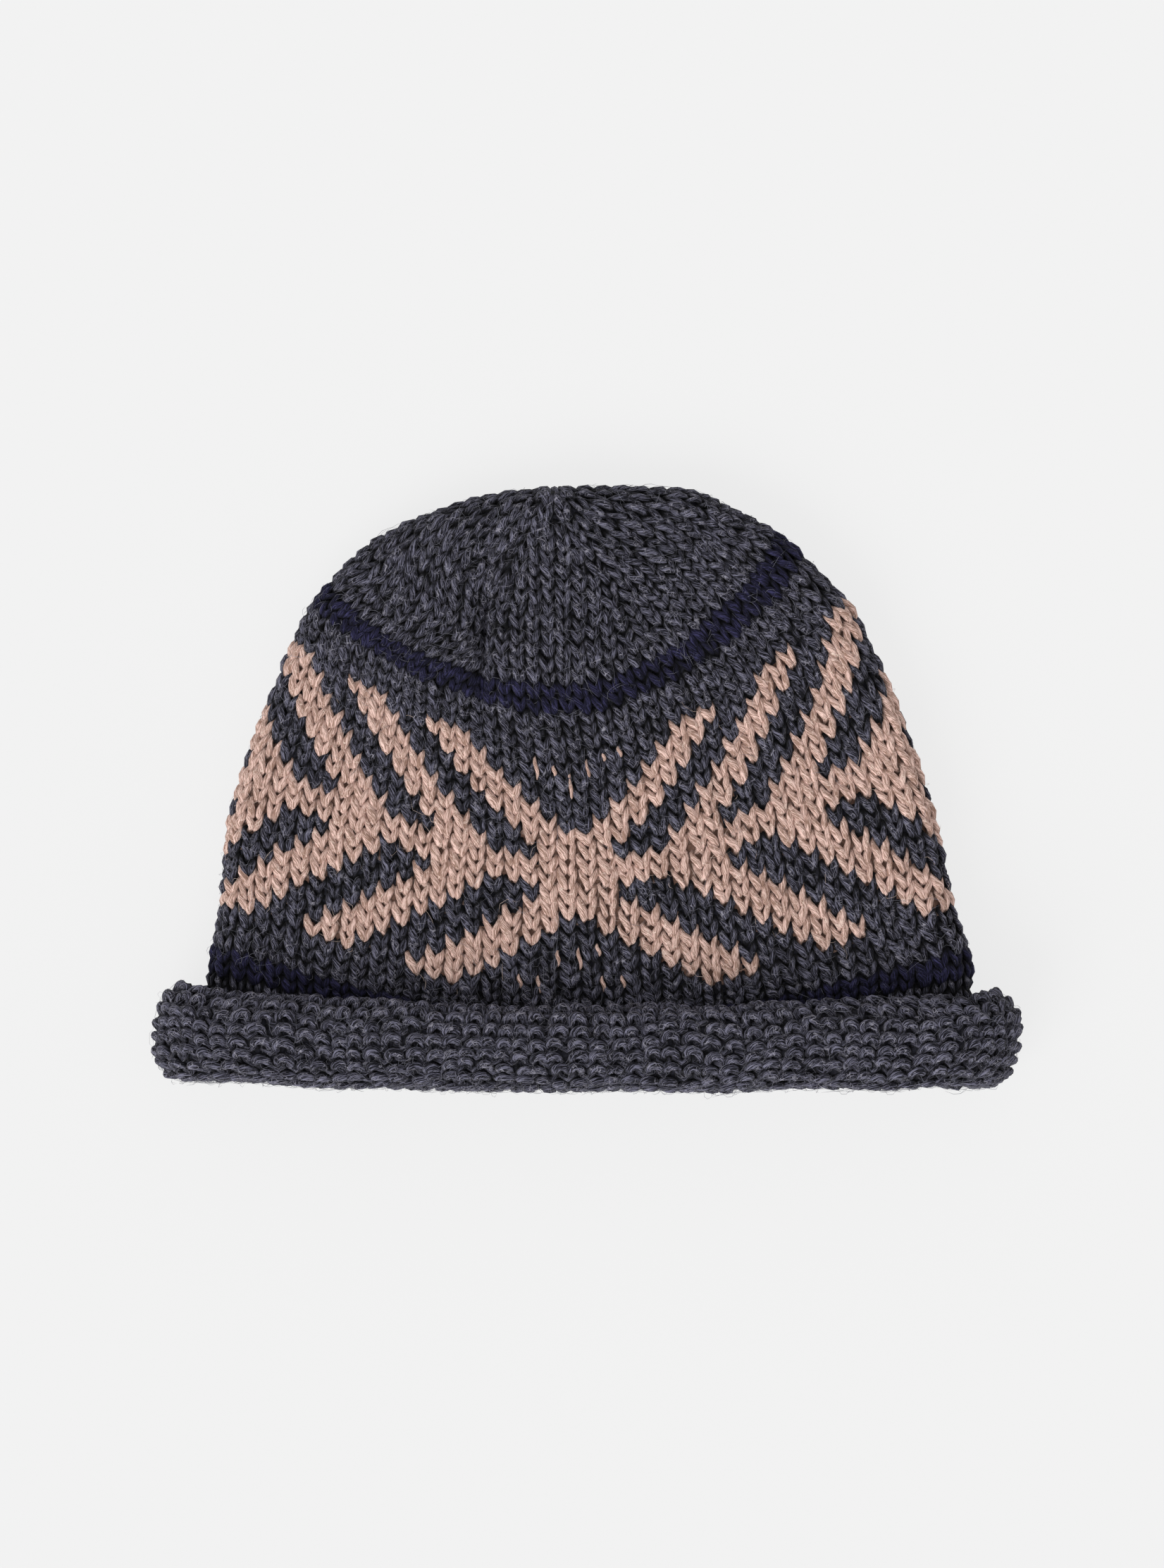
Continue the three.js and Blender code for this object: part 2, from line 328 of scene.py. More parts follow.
# The rows of the roll that are seen close, those that
# are seen at all, and the row at its matted lower edge.
BRIM_TOP_ROWS = (-12, -4)
BRIM_SEEN_ROWS = (-14, -1)
MATTED_ROW = -3.6
MATTED_ROWS = 1.3

# Each piece's share of the loose fibres, and the rows that they lie over.
FIBRE_REGIONS = {
    "rolled_brim_fibres": (0.24, (-12, -2)),
    "side_wall_grey_fibres": (0.4, (6, 33)),
    "side_wall_pale_fibres": (0.15, (8, 29)),
    "crown_fibres": (0.14, (32, 46)),
}
# The share of them along the brim's matted edge, the rows
# that they lie over, and the angle that they lie within.
MATTED_SHARE = 0.2
MATTED_FIBRE_ROWS = (-5, -3)
MATTED_SPREAD = 1.2
# How many of them lie on the front, and how far from its middle that reaches, as shares.
FRONT_SHARE = 0.7
FRONT_REACH = 0.25
# Where a fibre starts out of the fabric's middle, and its segments and sides.
FIBRE_ROOT = 1.7
FIBRE_SEGMENTS = 3
FIBRE_SIDES = 3
# Its curl, the spread and the limits of its length and lift,
# how far its free end may rise, its radius, and its tip.
FIBRE_CURL = 1.1
FIBRE_LENGTH_SPREAD = (4.0, 1.4)
FIBRE_LENGTH_LIMITS = (2.0, 12.0)
FIBRE_LIFT_SPREAD = (1.5, 0.35)
FIBRE_LIFT_LIMITS = (0.05, 2.2)
FIBRE_FREE_RISE = 1.6
FIBRE_RADII = (0.035, 0.065)
FIBRE_TIP = 0.25

# Each yarn's streaks: the noise below which it is dark and above which it is light, how strong its
# patches and its single fibres are, and its sheen. Then the heights in millimetres between which it
# comes out of the painted shade deep between the stitches, and the colour and width of its loose hairs.
YARNS = {
    "charcoal": {
        "dark_below": 0.465,
        "light_above": 0.65,
        "patches": 0.15,
        "single_fibres": 0.17,
        "sheen": 0.05,
        "painted_shade_fade": (0.95, 2.15),
        "hair": (0.28, 0.27, 0.32),
        "hair_width": 0.0125,
    },
    "navy": {
        "dark_below": 0.44,
        "light_above": 0.72,
        "patches": 0.1,
        "single_fibres": 0.2,
        "sheen": 0.03,
        "painted_shade_fade": (1.0, 2.2),
        "hair": (0.07, 0.07, 0.12),
        "hair_width": 0.006,
    },
    "beige": {
        "dark_below": 0.41,
        "light_above": 0.64,
        "patches": 0.18,
        "single_fibres": 0.18,
        "sheen": 0.06,
        "painted_shade_fade": (-0.4, 1.3),
        "hair": (0.85, 0.67, 0.58),
        "hair_width": 0.009,
    },
}
# The same heights of painted shade for the brim, whose stitches lie closer together.
BRIM_PAINTED_SHADE_FADE = (0.0, 1.85)
# How dark the painted shade makes the yarn deep between the stitches, as a share of its dark tone.
PAINTED_SHADE_SHARE = 0.3
# How long the yarn's streaks are, how many lie round it, and how much they turn in a millimetre.
STREAK_LENGTH = 3.2
STREAKS_ROUND = 3.4
TWIST = 0.05
# How much finer or coarser than its streaks the yarn's hairs, patches and single fibres are.
HAIR_SCALE = 2.9
PATCH_SCALE = 0.3
LIGHT_FIBRE_SCALE = 0.6
DARK_FIBRE_SCALE = 0.8
# How wide the lines of its single light and dark fibres are, in the noise that draws them.
LIGHT_FIBRE_WIDTH = 0.075
DARK_FIBRE_WIDTH = 0.1

# The layers of fine hairs over the yarn: each one's name, the way it runs,
# and how often it turns in a metre. HAIR_STRETCH draws them out lengthwise.
HAIR_LAYERS = (("First hairs", 0.4, 420.0), ("Second hairs", 1.5, 360.0), ("Third hairs", 2.5, 500.0))
HAIR_STRETCH = (1.0, 0.35, 1.0)
# The noise that breaks them into lengths: its scale
# beside theirs, and between which values a hair fades in.
HAIR_GAP_SCALE = 0.6
HAIR_GAP = (0.47, 0.53)

# The loose fibres and the webs vary between their own colour and this share of it; the webs' dark colour is
# painted shade between the stitches. Only the fibres have a sheen.
GREY_FIBRE_SHARE = 0.45
PALE_FIBRE_SHARE = 0.75
SHADE_WEB_SHARE = 2.5
BEIGE_SHADE_WEB_SHARE = 1.5
FIBRE_SHEEN = 0.3
# How often their mottle turns in a metre, and the noise between which it goes from one tone to the other.
FIBRE_MOTTLE = 60.0
WEB_MOTTLE = 1500.0
MOTTLE_RANGE = (0.35, 0.65)

# Wool's gloss, and its relief as the strength and the distance in metres of a bump.
WOOL_SPECULAR = 0.2
SHEEN_ROUGHNESS = 0.5
YARN_ROUGHNESS = 0.92
YARN_RELIEF = (0.7, 0.0004)
FIBRE_ROUGHNESS = 0.95
FIBRE_RELIEF = (0.3, 0.0003)

# The places of a Mix node's colours among its sockets, which
# share their names with those for other kinds of data.
MIX_COLOURS = (6, 7)
MIX_RESULT = 2

# The number that all randomness starts from, and what is added to
# it for the roll, the two cloths' unevenness and the loose fibres.
SEED = 11
ROLL_SEED = SEED + 20
WALL_UNEVEN_SEED = SEED + 40
ROLL_UNEVEN_SEED = SEED + 41
FIBRE_SEED = SEED + 60

# The photograph's view: straight down, with its middle at this place, and the distance for its scale.
VIEW_CENTRE = (-1.035, 1.955)
VIEW_HEIGHT = 25.0
VIEW_SPAN = 511.75
LENS = 135.0
SENSOR = 36.0

# The studio: the floor's level and its paper grain, the
# main light's place and turn, and how far the camera sees.
FLOOR_LEVEL = -0.2
PAPER_GRAIN = 900.0
PAPER_SHADE = 0.98
WHITE = (1.0, 1.0, 1.0, 1.0)
KEY_PLACE = (-0.4, 0.6, 1.2)
KEY_TURN = (math.radians(36), math.radians(-34), 0.0)
FARTHEST_SEEN = 100.0

# The shortest length that a vector is divided by, and the least that a stitch is taken to measure.
NO_LENGTH = 1e-9
LEAST_STITCH = 0.5


def smooth_column(table, columns, name, place):
    """A column of a table at any places between its rows, on a smooth curve through them."""
    keys = table[:, 0]
    values = table[:, columns.index(name)]
    slopes = np.empty(len(keys))
    slopes[1:-1] = (values[2:] - values[:-2]) / (keys[2:] - keys[:-2])
    slopes[0] = (values[1] - values[0]) / (keys[1] - keys[0])
    slopes[-1] = (values[-1] - values[-2]) / (keys[-1] - keys[-2])
    place = np.asarray(place, float)
    below = np.clip(np.searchsorted(keys, place, side="right") - 1, 0, len(keys) - 2)
    span = keys[below + 1] - keys[below]
    share = np.clip((place - keys[below]) / span, 0, 1)
    start = values[below]
    end = values[below + 1]
    rise = slopes[below] * span
    run = slopes[below + 1] * span
    square = 3 * (end - start) - 2 * rise - run
    cube = 2 * (start - end) + rise + run
    return start + share * rise + share**2 * square + share**3 * cube


def row_value(name, row):
    return smooth_column(ROWS, ROW_COLUMNS, name, row)


def unit(vectors):
    return vectors / np.maximum(np.linalg.norm(vectors, axis=-1, keepdims=True), NO_LENGTH)


def smooth_step(value, start, end):
    share = np.clip((value - start) / (end - start), 0, 1)
    return share * share * (3 - 2 * share)


def signed_power(value, power):
    return np.sign(value) * np.abs(value) ** power


def bell(distance, width):
    """1 at no distance, falling smoothly to nothing over a few widths."""
    return np.exp(-((distance / width) ** 2))


def shaded(colour, share):
    return tuple(share * value for value in colour)


def lengths_along(points):
    """How far along a line of points each of them is."""
    steps = np.linalg.norm(np.diff(points, axis=0), axis=-1)
    return np.concatenate(((0.0,), np.cumsum(steps)))


def half_row(row, hand):
    """Half of a row seen from above, from the middle to a fold: its points, and how far along each is."""
    side = "right" if hand > 0 else "left"
    mid_x = row_value("mid_x", row)
    mid_y = row_value("mid_y", row)
    reach = row_value(side + "_x", row) - mid_x
    rise = row_value(side + "_y", row) - mid_y
    swell = row_value("swell", row)
    round_share = row_value("round", row)
    share = np.sin(np.linspace(0, math.pi / 2, PLAN_POINTS))
    bowl = share**2 * (1 + swell * (1 - share**2))
    arc = 1 - np.sqrt(np.maximum(0, 1 - share**2))
    bow = (1 - round_share) * bowl + round_share * arc
    points = np.stack((mid_x + reach * share, mid_y + rise * bow), -1)
    return points, lengths_along(points)


def dent_depth(x, y):
    """How far the creases press the front wall down at each point."""
    depth = np.zeros_like(x)
    for middle_x, middle_y, long, wide, deep, lean in DENTS:
        along = (y - middle_y) * math.cos(lean) + (x - middle_x) * math.sin(lean)
        across = (x - middle_x) * math.cos(lean) - (y - middle_y) * math.sin(lean)
        depth += deep * np.exp(-((along / long) ** 2) - (across / wide) ** 2)
    return depth


def quarter_row(row, hand, faces_up):
    """The fabric's middle along a quarter of a row, from the cap's middle to a fold, and how far round it
    each point is, from 0 to 1."""
    plan, along = half_row(row, hand)
    length = along[-1]
    fold_width = min(FOLD_WIDTH, MOST_FOLDED * length)
    flat = np.linspace(0, 1, FLAT_POINTS)
    turn = np.linspace(0, math.pi / 2, TURN_POINTS)[1:]
    angle = np.concatenate((np.zeros(len(flat)), turn))
    flat_length = flat * (length - fold_width)
    travelled = np.concatenate((flat_length, length - fold_width * (1 - np.sin(turn)))) / length
    parts = FLAT_PARTS + TURN_PARTS
    turned = (FLAT_PARTS + TURN_PARTS * turn / (math.pi / 2)) / parts
    quarter = np.concatenate((flat * FLAT_PARTS / parts, turned))
    x = np.interp(travelled * length, along, plan[:, 0])
    y = np.interp(travelled * length, along, plan[:, 1])
    back = smooth_column(LEVELS, LEVEL_COLUMNS, "back", y)
    front = smooth_column(LEVELS, LEVEL_COLUMNS, "front", y)
    from_pole = np.clip((POLE_Y - row_value("mid_y", row)) / fold_width, 0, 1)
    swing = np.cos(angle) * math.sqrt(1 - (1 - from_pole) ** 2)
    half = (front - back) / 2
    if faces_up:
        crease = FRONT_SLOPE * travelled**2 + dent_depth(x, y)
        return np.stack((x, y, (back + front) / 2 + (half - crease) * swing, quarter), -1)
    slip = BACK_SLIP * swing * np.clip(1 - row / SLIP_END_ROW, 0, 1)
    return np.stack((x, y - slip, (back + front) / 2 - half * swing, quarter), -1)


def evenly_placed(line, count, spread=0.0):
    """count + 1 places along a line of points, evenly apart, or wider apart towards its ends."""
    along = lengths_along(line[:, :3])
    share = np.linspace(0, 1, count + 1)
    share = share + spread / (2 * math.pi) * np.sin(2 * math.pi * share)
    places = share * along[-1]
    return np.stack([np.interp(places, along, line[:, i]) for i in range(line.shape[1])], -1)


def wall_row(row):
    """One row of the wall all round the cap, from the middle of the front to the right, and how many
    quarters of the way round each point is."""
    spread = np.interp(row, SPREAD_ROWS, SPREAD)
    halves = []
    for hand in (1, -1):
        front = quarter_row(row, hand, True)
        back = quarter_row(row, hand, False)
        back[:, 3] = 2 - back[:, 3]
        line = np.concatenate((front, back[::-1][1:]))
        halves.append(evenly_placed(line, HALF_WALES * PER_WALE, spread))
    left = halves[1][::-1].copy()
    left[:, 3] = 4 - left[:, 3]
    return np.concatenate((halves[0], left[1:-1]))


class Wander:
    """A slow random drift over the cloth, mostly within 1 either way, that joins up round each row."""

    def __init__(self, wales, seed):
        rng = np.random.default_rng(seed)
        turns = rng.integers(*DRIFT_TURNS, DRIFT_WAVES)
        self.turns = turns * (2 * math.pi / wales) * rng.choice((-1, 1), DRIFT_WAVES)
        self.rises = rng.uniform(*DRIFT_RISES, DRIFT_WAVES)
        self.phases = rng.uniform(0, 2 * math.pi, DRIFT_WAVES)

    def at(self, wale, row):
        angle = wale[..., None] * self.turns + row[..., None] * self.rises + self.phases
        return np.sin(angle).sum(-1) / math.sqrt(len(self.turns))


class Cloth:
    """A surface of knitted fabric: its middle and its outward normal at any wale and row of stitches."""

    def __init__(self, points, first_row, wales, drift, seed, shown_side):
        self.points = points
        self.first_row = first_row
        self.wales = wales
        self.drift = drift
        self.shown_side = shown_side
        self.wanders = [Wander(wales, seed + i) for i in range(3)]
        along_row = np.roll(points, -1, axis=1) - np.roll(points, 1, axis=1)
        along_wale = np.gradient(points, axis=0)
        self.normals = unit(np.cross(along_row, along_wale))

    def knitted(self, wale, row, out):
        """The points at matching arrays of wales, rows and millimetres out from the cloth, moved by its
        drift, and the cloth's normals there."""
        across, up, lift = (wander.at(wale, row) * size for wander, size in zip(self.wanders, self.drift))
        points, normals = self.at(wale + across, row + up)
        return points + normals * (out + lift)[..., None], normals

    def at(self, wale, row):
        """The points and normals at matching arrays of wales and rows."""
        rows, columns = self.points.shape[:2]
        across = np.asarray(wale) * (columns / self.wales)
        up = np.clip((np.asarray(row) - self.first_row) * PER_ROW, 0, rows - BELOW_LAST)
        below = np.floor(up).astype(int)
        before = np.floor(across).astype(int)
        up_share = (up - below)[..., None]
        across_share = (across - before)[..., None]
        near = before % columns
        far = (before + 1) % columns
        found = []
        for grid in (self.points, self.normals):
            low = grid[below, near] * (1 - across_share) + grid[below, far] * across_share
            high = grid[below + 1, near] * (1 - across_share) + grid[below + 1, far] * across_share
            found.append(low * (1 - up_share) + high * up_share)
        return found[0], unit(found[1])


def make_wall():
    """The wall's cloth, and how many quarters of the way round its first row each place is."""
    grid = np.stack([wall_row(row) for row in np.arange(0, LAST_ROW, 1 / PER_ROW)])
    return Cloth(grid[:, :, :3], 0.0, WALES, WALL_DRIFT, SEED, KNIT_SIDE), grid[0, :, 3]


def size_round_cap(sizes, facing):
    """One of the roll's sizes all round the cap, from those at the front, the folds and the back. facing
    goes from 1 at the front to -1 at the back."""
    middle = np.where(facing > 0, sizes["front"], sizes["back"])
    return sizes["side"] + (middle - sizes["side"]) * facing**2


def make_roll(wall, quarters):
    """The rolled brim's cloth: rows from 0 at the mouth down to the tucked end, and a row of wall above."""
    start = wall.points[0]
    normal = wall.normals[0]
    along_row = unit(np.roll(start, -1, axis=0) - np.roll(start, 1, axis=0))
    down = -np.cross(normal, along_row)
    facing = np.cos(quarters * math.pi / 2)
    high = size_round_cap(ROLL_HIGH, facing)
    thick = size_round_cap(ROLL_THICK, facing)
    path = []
    for angle in np.linspace(0, ROLL_TURNS * 2 * math.pi, ROLL_POINTS):
        across = thick / 2 - TUCK_DEPTH * smooth_step(angle / math.pi, *TUCK_ACROSS)
        along = high - TUCK_DEPTH * smooth_step(angle / math.pi, *TUCK_ALONG)
        out = thick / 2 - across * signed_power(math.cos(angle), ROLL_SQUARE)
        lower = along * signed_power(math.sin(angle), ROLL_SQUARE)
        path.append(start + normal * out[:, None] + down * lower[:, None])
    path = np.stack(path)
    columns = path.shape[1]
    evened = [evenly_placed(path[:, column], ROLL_ROWS * PER_ROW) for column in range(columns)]
    above = wall.points[1 : PER_ROW + 1]
    rows = np.concatenate((np.stack(evened, axis=1)[::-1], above))
    loops = []
    half = columns // 2
    half_places = ROLL_WALES // 2 * PER_WALE
    for loop in rows:
        right = evenly_placed(loop[: half + 1], half_places)
        left = evenly_placed(np.concatenate((loop[half:], loop[:1])), half_places)
        loops.append(np.concatenate((right, left[1:-1])))
    return Cloth(np.stack(loops), -float(ROLL_ROWS), ROLL_WALES, ROLL_DRIFT, ROLL_SEED, PURL_SIDE)


class Unevenness:
    """The small differences between stitches knitted by hand. The same stitch always has the same ones."""

    def __init__(self, rows, wales, first_row, seed):
        rng = np.random.default_rng(seed)
        limits = (-MOST_UNEVEN, MOST_UNEVEN)
        self.first_row = first_row
        self.stitches = rng.normal(size=(rows, wales, STITCH_WAYS)).clip(*limits)
        self.feet = rng.normal(size=(rows, wales, FOOT_WAYS)).clip(*limits)

    def of_stitches(self, row, stitches, count):
        return self.stitches[row - self.first_row, stitches % count]

    def of_feet(self, row, stitches, count):
        """The differences at each stitch's start and end, which it shares with its neighbours."""
        line = self.feet[row - self.first_row]
        return line[stitches % count], line[(stitches + 1) % count]


class Pattern:
    """Where a cloth's stitches stand. A row's stitches are numbered both ways from the front's middle."""

    def __init__(self, cloth, sectors, sector_counts, uneven):
        self.cloth = cloth
        self.sectors = sectors
        self.sector_counts = sector_counts
        self.uneven = uneven
        self.widths = {row: self.stitch_width(row) for row in sector_counts}

    def count(self, row):
        return self.sectors * self.sector_counts[row]

    def stitch_width(self, row):
        """How many of the cloth's wales one stitch of a sector's middle takes up."""
        evenly = self.cloth.wales / self.count(row)
        if evenly == 1:
            return 1.0
        beside = self.cloth.at(np.array((-1.0, 1.0)), np.full(2, float(row)))[0]
        alike = CROWN_STITCH_WIDTH / (np.linalg.norm(beside[1] - beside[0]) / 2)
        return (evenly + alike) / 2

    def offset(self, local, count, row):
        """The wales from a sector's middle to a place counted in stitches, where count of them fill it."""
        inner = self.sector_counts[row] / 2 - 1
        inner_wales = inner * self.widths[row]
        edge = self.cloth.wales / self.sectors / 2
        from_middle = np.abs(local)
        beyond = (from_middle - inner) / (count / 2 - inner)
        squeezed = inner_wales + beyond * (edge - inner_wales)
        return np.sign(local) * np.where(from_middle > inner, squeezed, from_middle * self.widths[row])

    def wale(self, place, stitch, row, height):
        """The cloth's wale at a place counted in stitches, at a height above that row."""
        here = self.sector_counts[row]
        sector = np.floor_divide(stitch + here // 2, here)
        local = place - sector * here
        above = self.offset(local, here, row + 1)
        share = np.clip(height, 0, 1)
        across = (1 - share) * self.offset(local, here, row) + share * above
        return self.cloth.wales / self.sectors * sector + across


def wall_counts():
    return {row: SECTOR_STITCHES[max(0, row - CROWN_ROW)] for row in range(TOP_ROW + 2)}


def roll_counts():
    return {row: ROLL_WALES for row in range(-ROLL_ROWS, 1)}


WALL, QUARTERS = make_wall()
ROLL = make_roll(WALL, QUARTERS)
WALL_UNEVEN = Unevenness(TOP_ROW + 1, WALES, 0, WALL_UNEVEN_SEED)
ROLL_UNEVEN = Unevenness(ROLL_ROWS, ROLL_WALES, -ROLL_ROWS, ROLL_UNEVEN_SEED)
WALL_PATTERN = Pattern(WALL, SECTORS, wall_counts(), WALL_UNEVEN)
ROLL_PATTERN = Pattern(ROLL, 1, roll_counts(), ROLL_UNEVEN)


def yarn_of(row, stitch):
    """The yarn that a stitch of the wall is knitted in."""
    if row in LOWER_STRIPE_ROWS or row in UPPER_STRIPE_ROWS:
        return "navy"
    line = MOTIF_TOP_ROW - row
    if not 0 <= line < len(MOTIF):
        return "charcoal"
    from_middle = stitch if stitch >= 0 else -1 - stitch
    middle, repeat = MOTIF[line]
    if from_middle < MOTIF_MIDDLE:
        return "beige" if middle[from_middle] == "o" else "charcoal"
    return "beige" if repeat[(from_middle - MOTIF_MIDDLE) % MOTIF_REPEAT] == "o" else "charcoal"


def anywhere(wale, row):
    return True


def beige_at(wale, row):
    """Whether the stitch at a place on the wall is beige."""
    stitch = math.floor(wale + HALF_WALES) % WALES - HALF_WALES
    return yarn_of(int(row), stitch) == "beige"


def not_beige_at(wale, row):
    return not beige_at(wale, row)


def is_wanted(row, stitch, count, side, yarn):
    """Whether a stitch lies on this side of the cap, front, back or all round, and is of this yarn, if one
    is given."""
    if yarn and yarn_of(row, stitch) != yarn:
        return False
    on_front = -count / 4 <= stitch + 0.5 < count / 4
    return side == "all round" or on_front == (side == "front")


def brim_detail(row, side):
    """How finely the brim's yarn is made in a row."""
    if BRIM_TOP_ROWS[0] <= row <= BRIM_TOP_ROWS[1]:
        return DETAIL[side]
    return PLAIN if BRIM_SEEN_ROWS[0] <= row <= BRIM_SEEN_ROWS[1] else HIDDEN


def wall_detail(row, side):
    """How finely the wall's and the crown's yarn is made in a row. The brim hides the first rows."""
    return DETAIL[side] if row >= LOWER_STRIPE_ROWS[0] else HIDDEN


class YarnMesh:
    """Collects tubes of yarn into one mesh, with texture coordinates along and round the yarn."""

    def __init__(self):
        self.points = []
        self.corners = []
        self.starts = []
        self.smooth = []
        self.uvs = []
        self.heights = []
        self.point_count = 0
        self.corner_count = 0

    def add_tube(self, centres, normals, radii, sides, along, heights, flatten=1.0):
        """A closed tube round a line of centres. normals point out of the fabric there, heights say how far
        out of it the centres are, and along says how far along the yarn."""
        tangent = unit(np.gradient(centres, axis=0))
        side = unit(np.cross(normals, tangent))
        outward = np.cross(tangent, side)
        angle = np.arange(sides) * (2 * math.pi / sides)
        sideways = side[:, None] * np.cos(angle)[None, :, None]
        ring = sideways + flatten * outward[:, None] * np.sin(angle)[None, :, None]
        points = centres[:, None] + ring * radii[:, None, None]
        points[..., 2] = np.maximum(points[..., 2], LOWEST)
        above = np.sum(ring * normals[:, None], axis=-1) * radii[:, None]
        rings = len(centres)
        index = self.point_count + np.arange(rings * sides).reshape(rings, sides)
        following = np.roll(index, -1, axis=1)
        quads = np.stack((index[:-1], following[:-1], following[1:], index[1:]), -1).reshape(-1, 4)
        size = (rings - 1, sides)
        lengthwise = [np.broadcast_to(line[:, None], size) for line in (along[:-1], along[1:])]
        around = [np.broadcast_to((np.arange(sides) + step) / sides, size) for step in (0, 1)]
        corner_steps = ((0, 0), (0, 1), (1, 1), (1, 0))
        uv = np.stack([np.stack((lengthwise[i], around[j]), -1) for i, j in corner_steps], 2)
        self.points.append(points.reshape(-1, 3))
        self.heights.append((heights[:, None] + above).reshape(-1))
        self.corners.append(quads.reshape(-1))
        self.starts.append(self.corner_count + 4 * np.arange(len(quads)))
        self.smooth.append(np.ones(len(quads), bool))
        self.uvs.append(uv.reshape(-1, 2))
        self.point_count += rings * sides
        self.corner_count += quads.size
        for cap, place in ((index[0, ::-1], along[0]), (index[-1], along[-1])):
            self.corners.append(cap)
            self.starts.append(np.array((self.corner_count,)))
            self.smooth.append(np.zeros(1, bool))
            self.uvs.append(np.tile((place, 0.0), (sides, 1)))
            self.corner_count += sides

    def to_mesh(self, name):
        points = np.concatenate(self.points) * MILLIMETRE
        corners = np.concatenate(self.corners).astype(np.int32)
        starts = np.concatenate(self.starts).astype(np.int32)
        mesh = bpy.data.meshes.new(name)
        mesh.vertices.add(len(points))
        mesh.vertices.foreach_set("co", points.astype(np.float32).ravel())
        mesh.loops.add(len(corners))
        mesh.loops.foreach_set("vertex_index", corners)
        mesh.polygons.add(len(starts))
        mesh.polygons.foreach_set("loop_start", starts)
        mesh.polygons.foreach_set("use_smooth", np.concatenate(self.smooth))
        height = mesh.attributes.new("height", "FLOAT", "POINT")
        height.data.foreach_set("value", np.concatenate(self.heights).astype(np.float32))
        layer = mesh.uv_layers.new(name="yarn")
        layer.data.foreach_set("uv", np.concatenate(self.uvs).astype(np.float32).ravel())
        mesh.update(calc_edges=True)
        mesh.validate()
        return mesh


def stitch_courses(row, turn, differences, feet, look):
    """The course of the yarn through each stitch of a run. turn goes from -pi at a stitch's start, by 0 at
    its head, to pi at its end. The course is in wales across, rows up and millimetres out, with the
    yarn's radius."""
    head = np.cos(turn / 2) ** 2
    shared = np.where(turn[:, None] < 0, feet[0][:, :, None], feet[1][:, :, None]) * look["uneven"]
    foot = shared * (1 - head)[:, None]
    left_leg = bell(turn + math.pi / 2, LEG_SPAN)
    right_leg = bell(turn - math.pi / 2, LEG_SPAN)
    belly = look["belly"] * np.sin(2 * turn) * (1 + BELLY_VARIES * differences[:, BELLY])
    across = turn / (2 * math.pi) + belly
    across = across - look["lean"] * np.cos(turn) + SHIFT_VARIES * differences[:, SHIFT] * head
    across = across + look["sway"] * foot[:, FOOT_SWAY]
    up = look["centre"] + look["rise"] * signed_power(np.cos(turn), look["arch"])
    up = up + REACH_VARIES * differences[:, REACH] * head + FOOT_VARIES * foot[:, FOOT_RISE]
    out = -look["depth"] * signed_power(np.cos(2 * turn), look["square"]) - look["shingle"] * np.cos(turn)
    out = out - look["left_out"] * np.sin(turn) + look["lumps"] * foot[:, FOOT_LUMP]
    out = out + LEG_OUT_VARIES * differences[:, LEFT_OUT] * left_leg
    out = out + LEG_OUT_VARIES * differences[:, RIGHT_OUT] * right_leg
    out = out * (1 - look["matting"] * bell(row + up - MATTED_ROW, MATTED_ROWS))
    swell = LEG_FAT_VARIES * differences[:, LEFT_FAT] * left_leg
    swell = swell + LEG_FAT_VARIES * differences[:, RIGHT_FAT] * right_leg
    fat = bell(np.abs(turn) - look["fat_at"], look["fat_wide"])
    radius = look["radius"] * (look["thin"] + (1 - look["thin"]) * fat + swell)
    return across, up, out, radius


def joined(values):
    """The values along a run of stitches as one line. Neighbours share the ring between them, so only the
    run's last stitch gives its last one."""
    inner = values[:, :-1]
    return np.concatenate((inner.reshape(-1, *values.shape[2:]), values[-1:, -1]))


def knit_run(tubes, pattern, row, first, last, detail, look):
    """Knits neighbouring stitches of one row, first to last, as one length of yarn."""
    segments, sides = detail
    count = pattern.count(row)
    stitches = np.arange(first, last + 1)
    evenly = np.linspace(-math.pi, math.pi, segments + 1)[None, :]
    turn = evenly + look["crowding"] * np.sin(evenly)
    differences = pattern.uneven.of_stitches(row, stitches, count)[:, :, None] * look["uneven"]
    feet = pattern.uneven.of_feet(row, stitches, count)
    across, up, out, radius = stitch_courses(row, turn, differences, feet, look)
    place = stitches[:, None] + 0.5 + across
    wale = pattern.wale(place, stitches[:, None], row, up)
    points, normals = pattern.cloth.knitted(wale, row + up, out)
    shown_side = pattern.cloth.shown_side
    centres = joined(points)
    along = lengths_along(centres) + YARN_LENGTH * ((row * ROW_CUT + first * RUN_CUT) % 1)
    tubes.add_tube(
        centres,
        joined(normals) * shown_side,
        joined(radius),
        sides,
        along,
        joined(out) * shown_side,
        look["flatten"],
    )


def runs_of(row, count, side, yarn):
    """The neighbouring wanted stitches of a row, as pairs of first and last. Rows start at the back."""
    runs = []
    for stitch in range(-(count // 2), count // 2):
        if not is_wanted(row, stitch, count, side, yarn):
            continue
        if runs and runs[-1][1] == stitch - 1:
            runs[-1][1] = stitch
        else:
            runs.append([stitch, stitch])
    return runs


def knit_piece(name, pattern, rows, detail_of, look, side="all round", yarn=None):
    """One mesh of the stitches in these rows that lie on this side and are of this yarn, if one is given."""
    tubes = YarnMesh()
    for row in rows:
        for first, last in runs_of(row, pattern.count(row), side, yarn):
            knit_run(tubes, pattern, row, first, last, detail_of(row, side), look)
    return tubes.to_mesh(name)


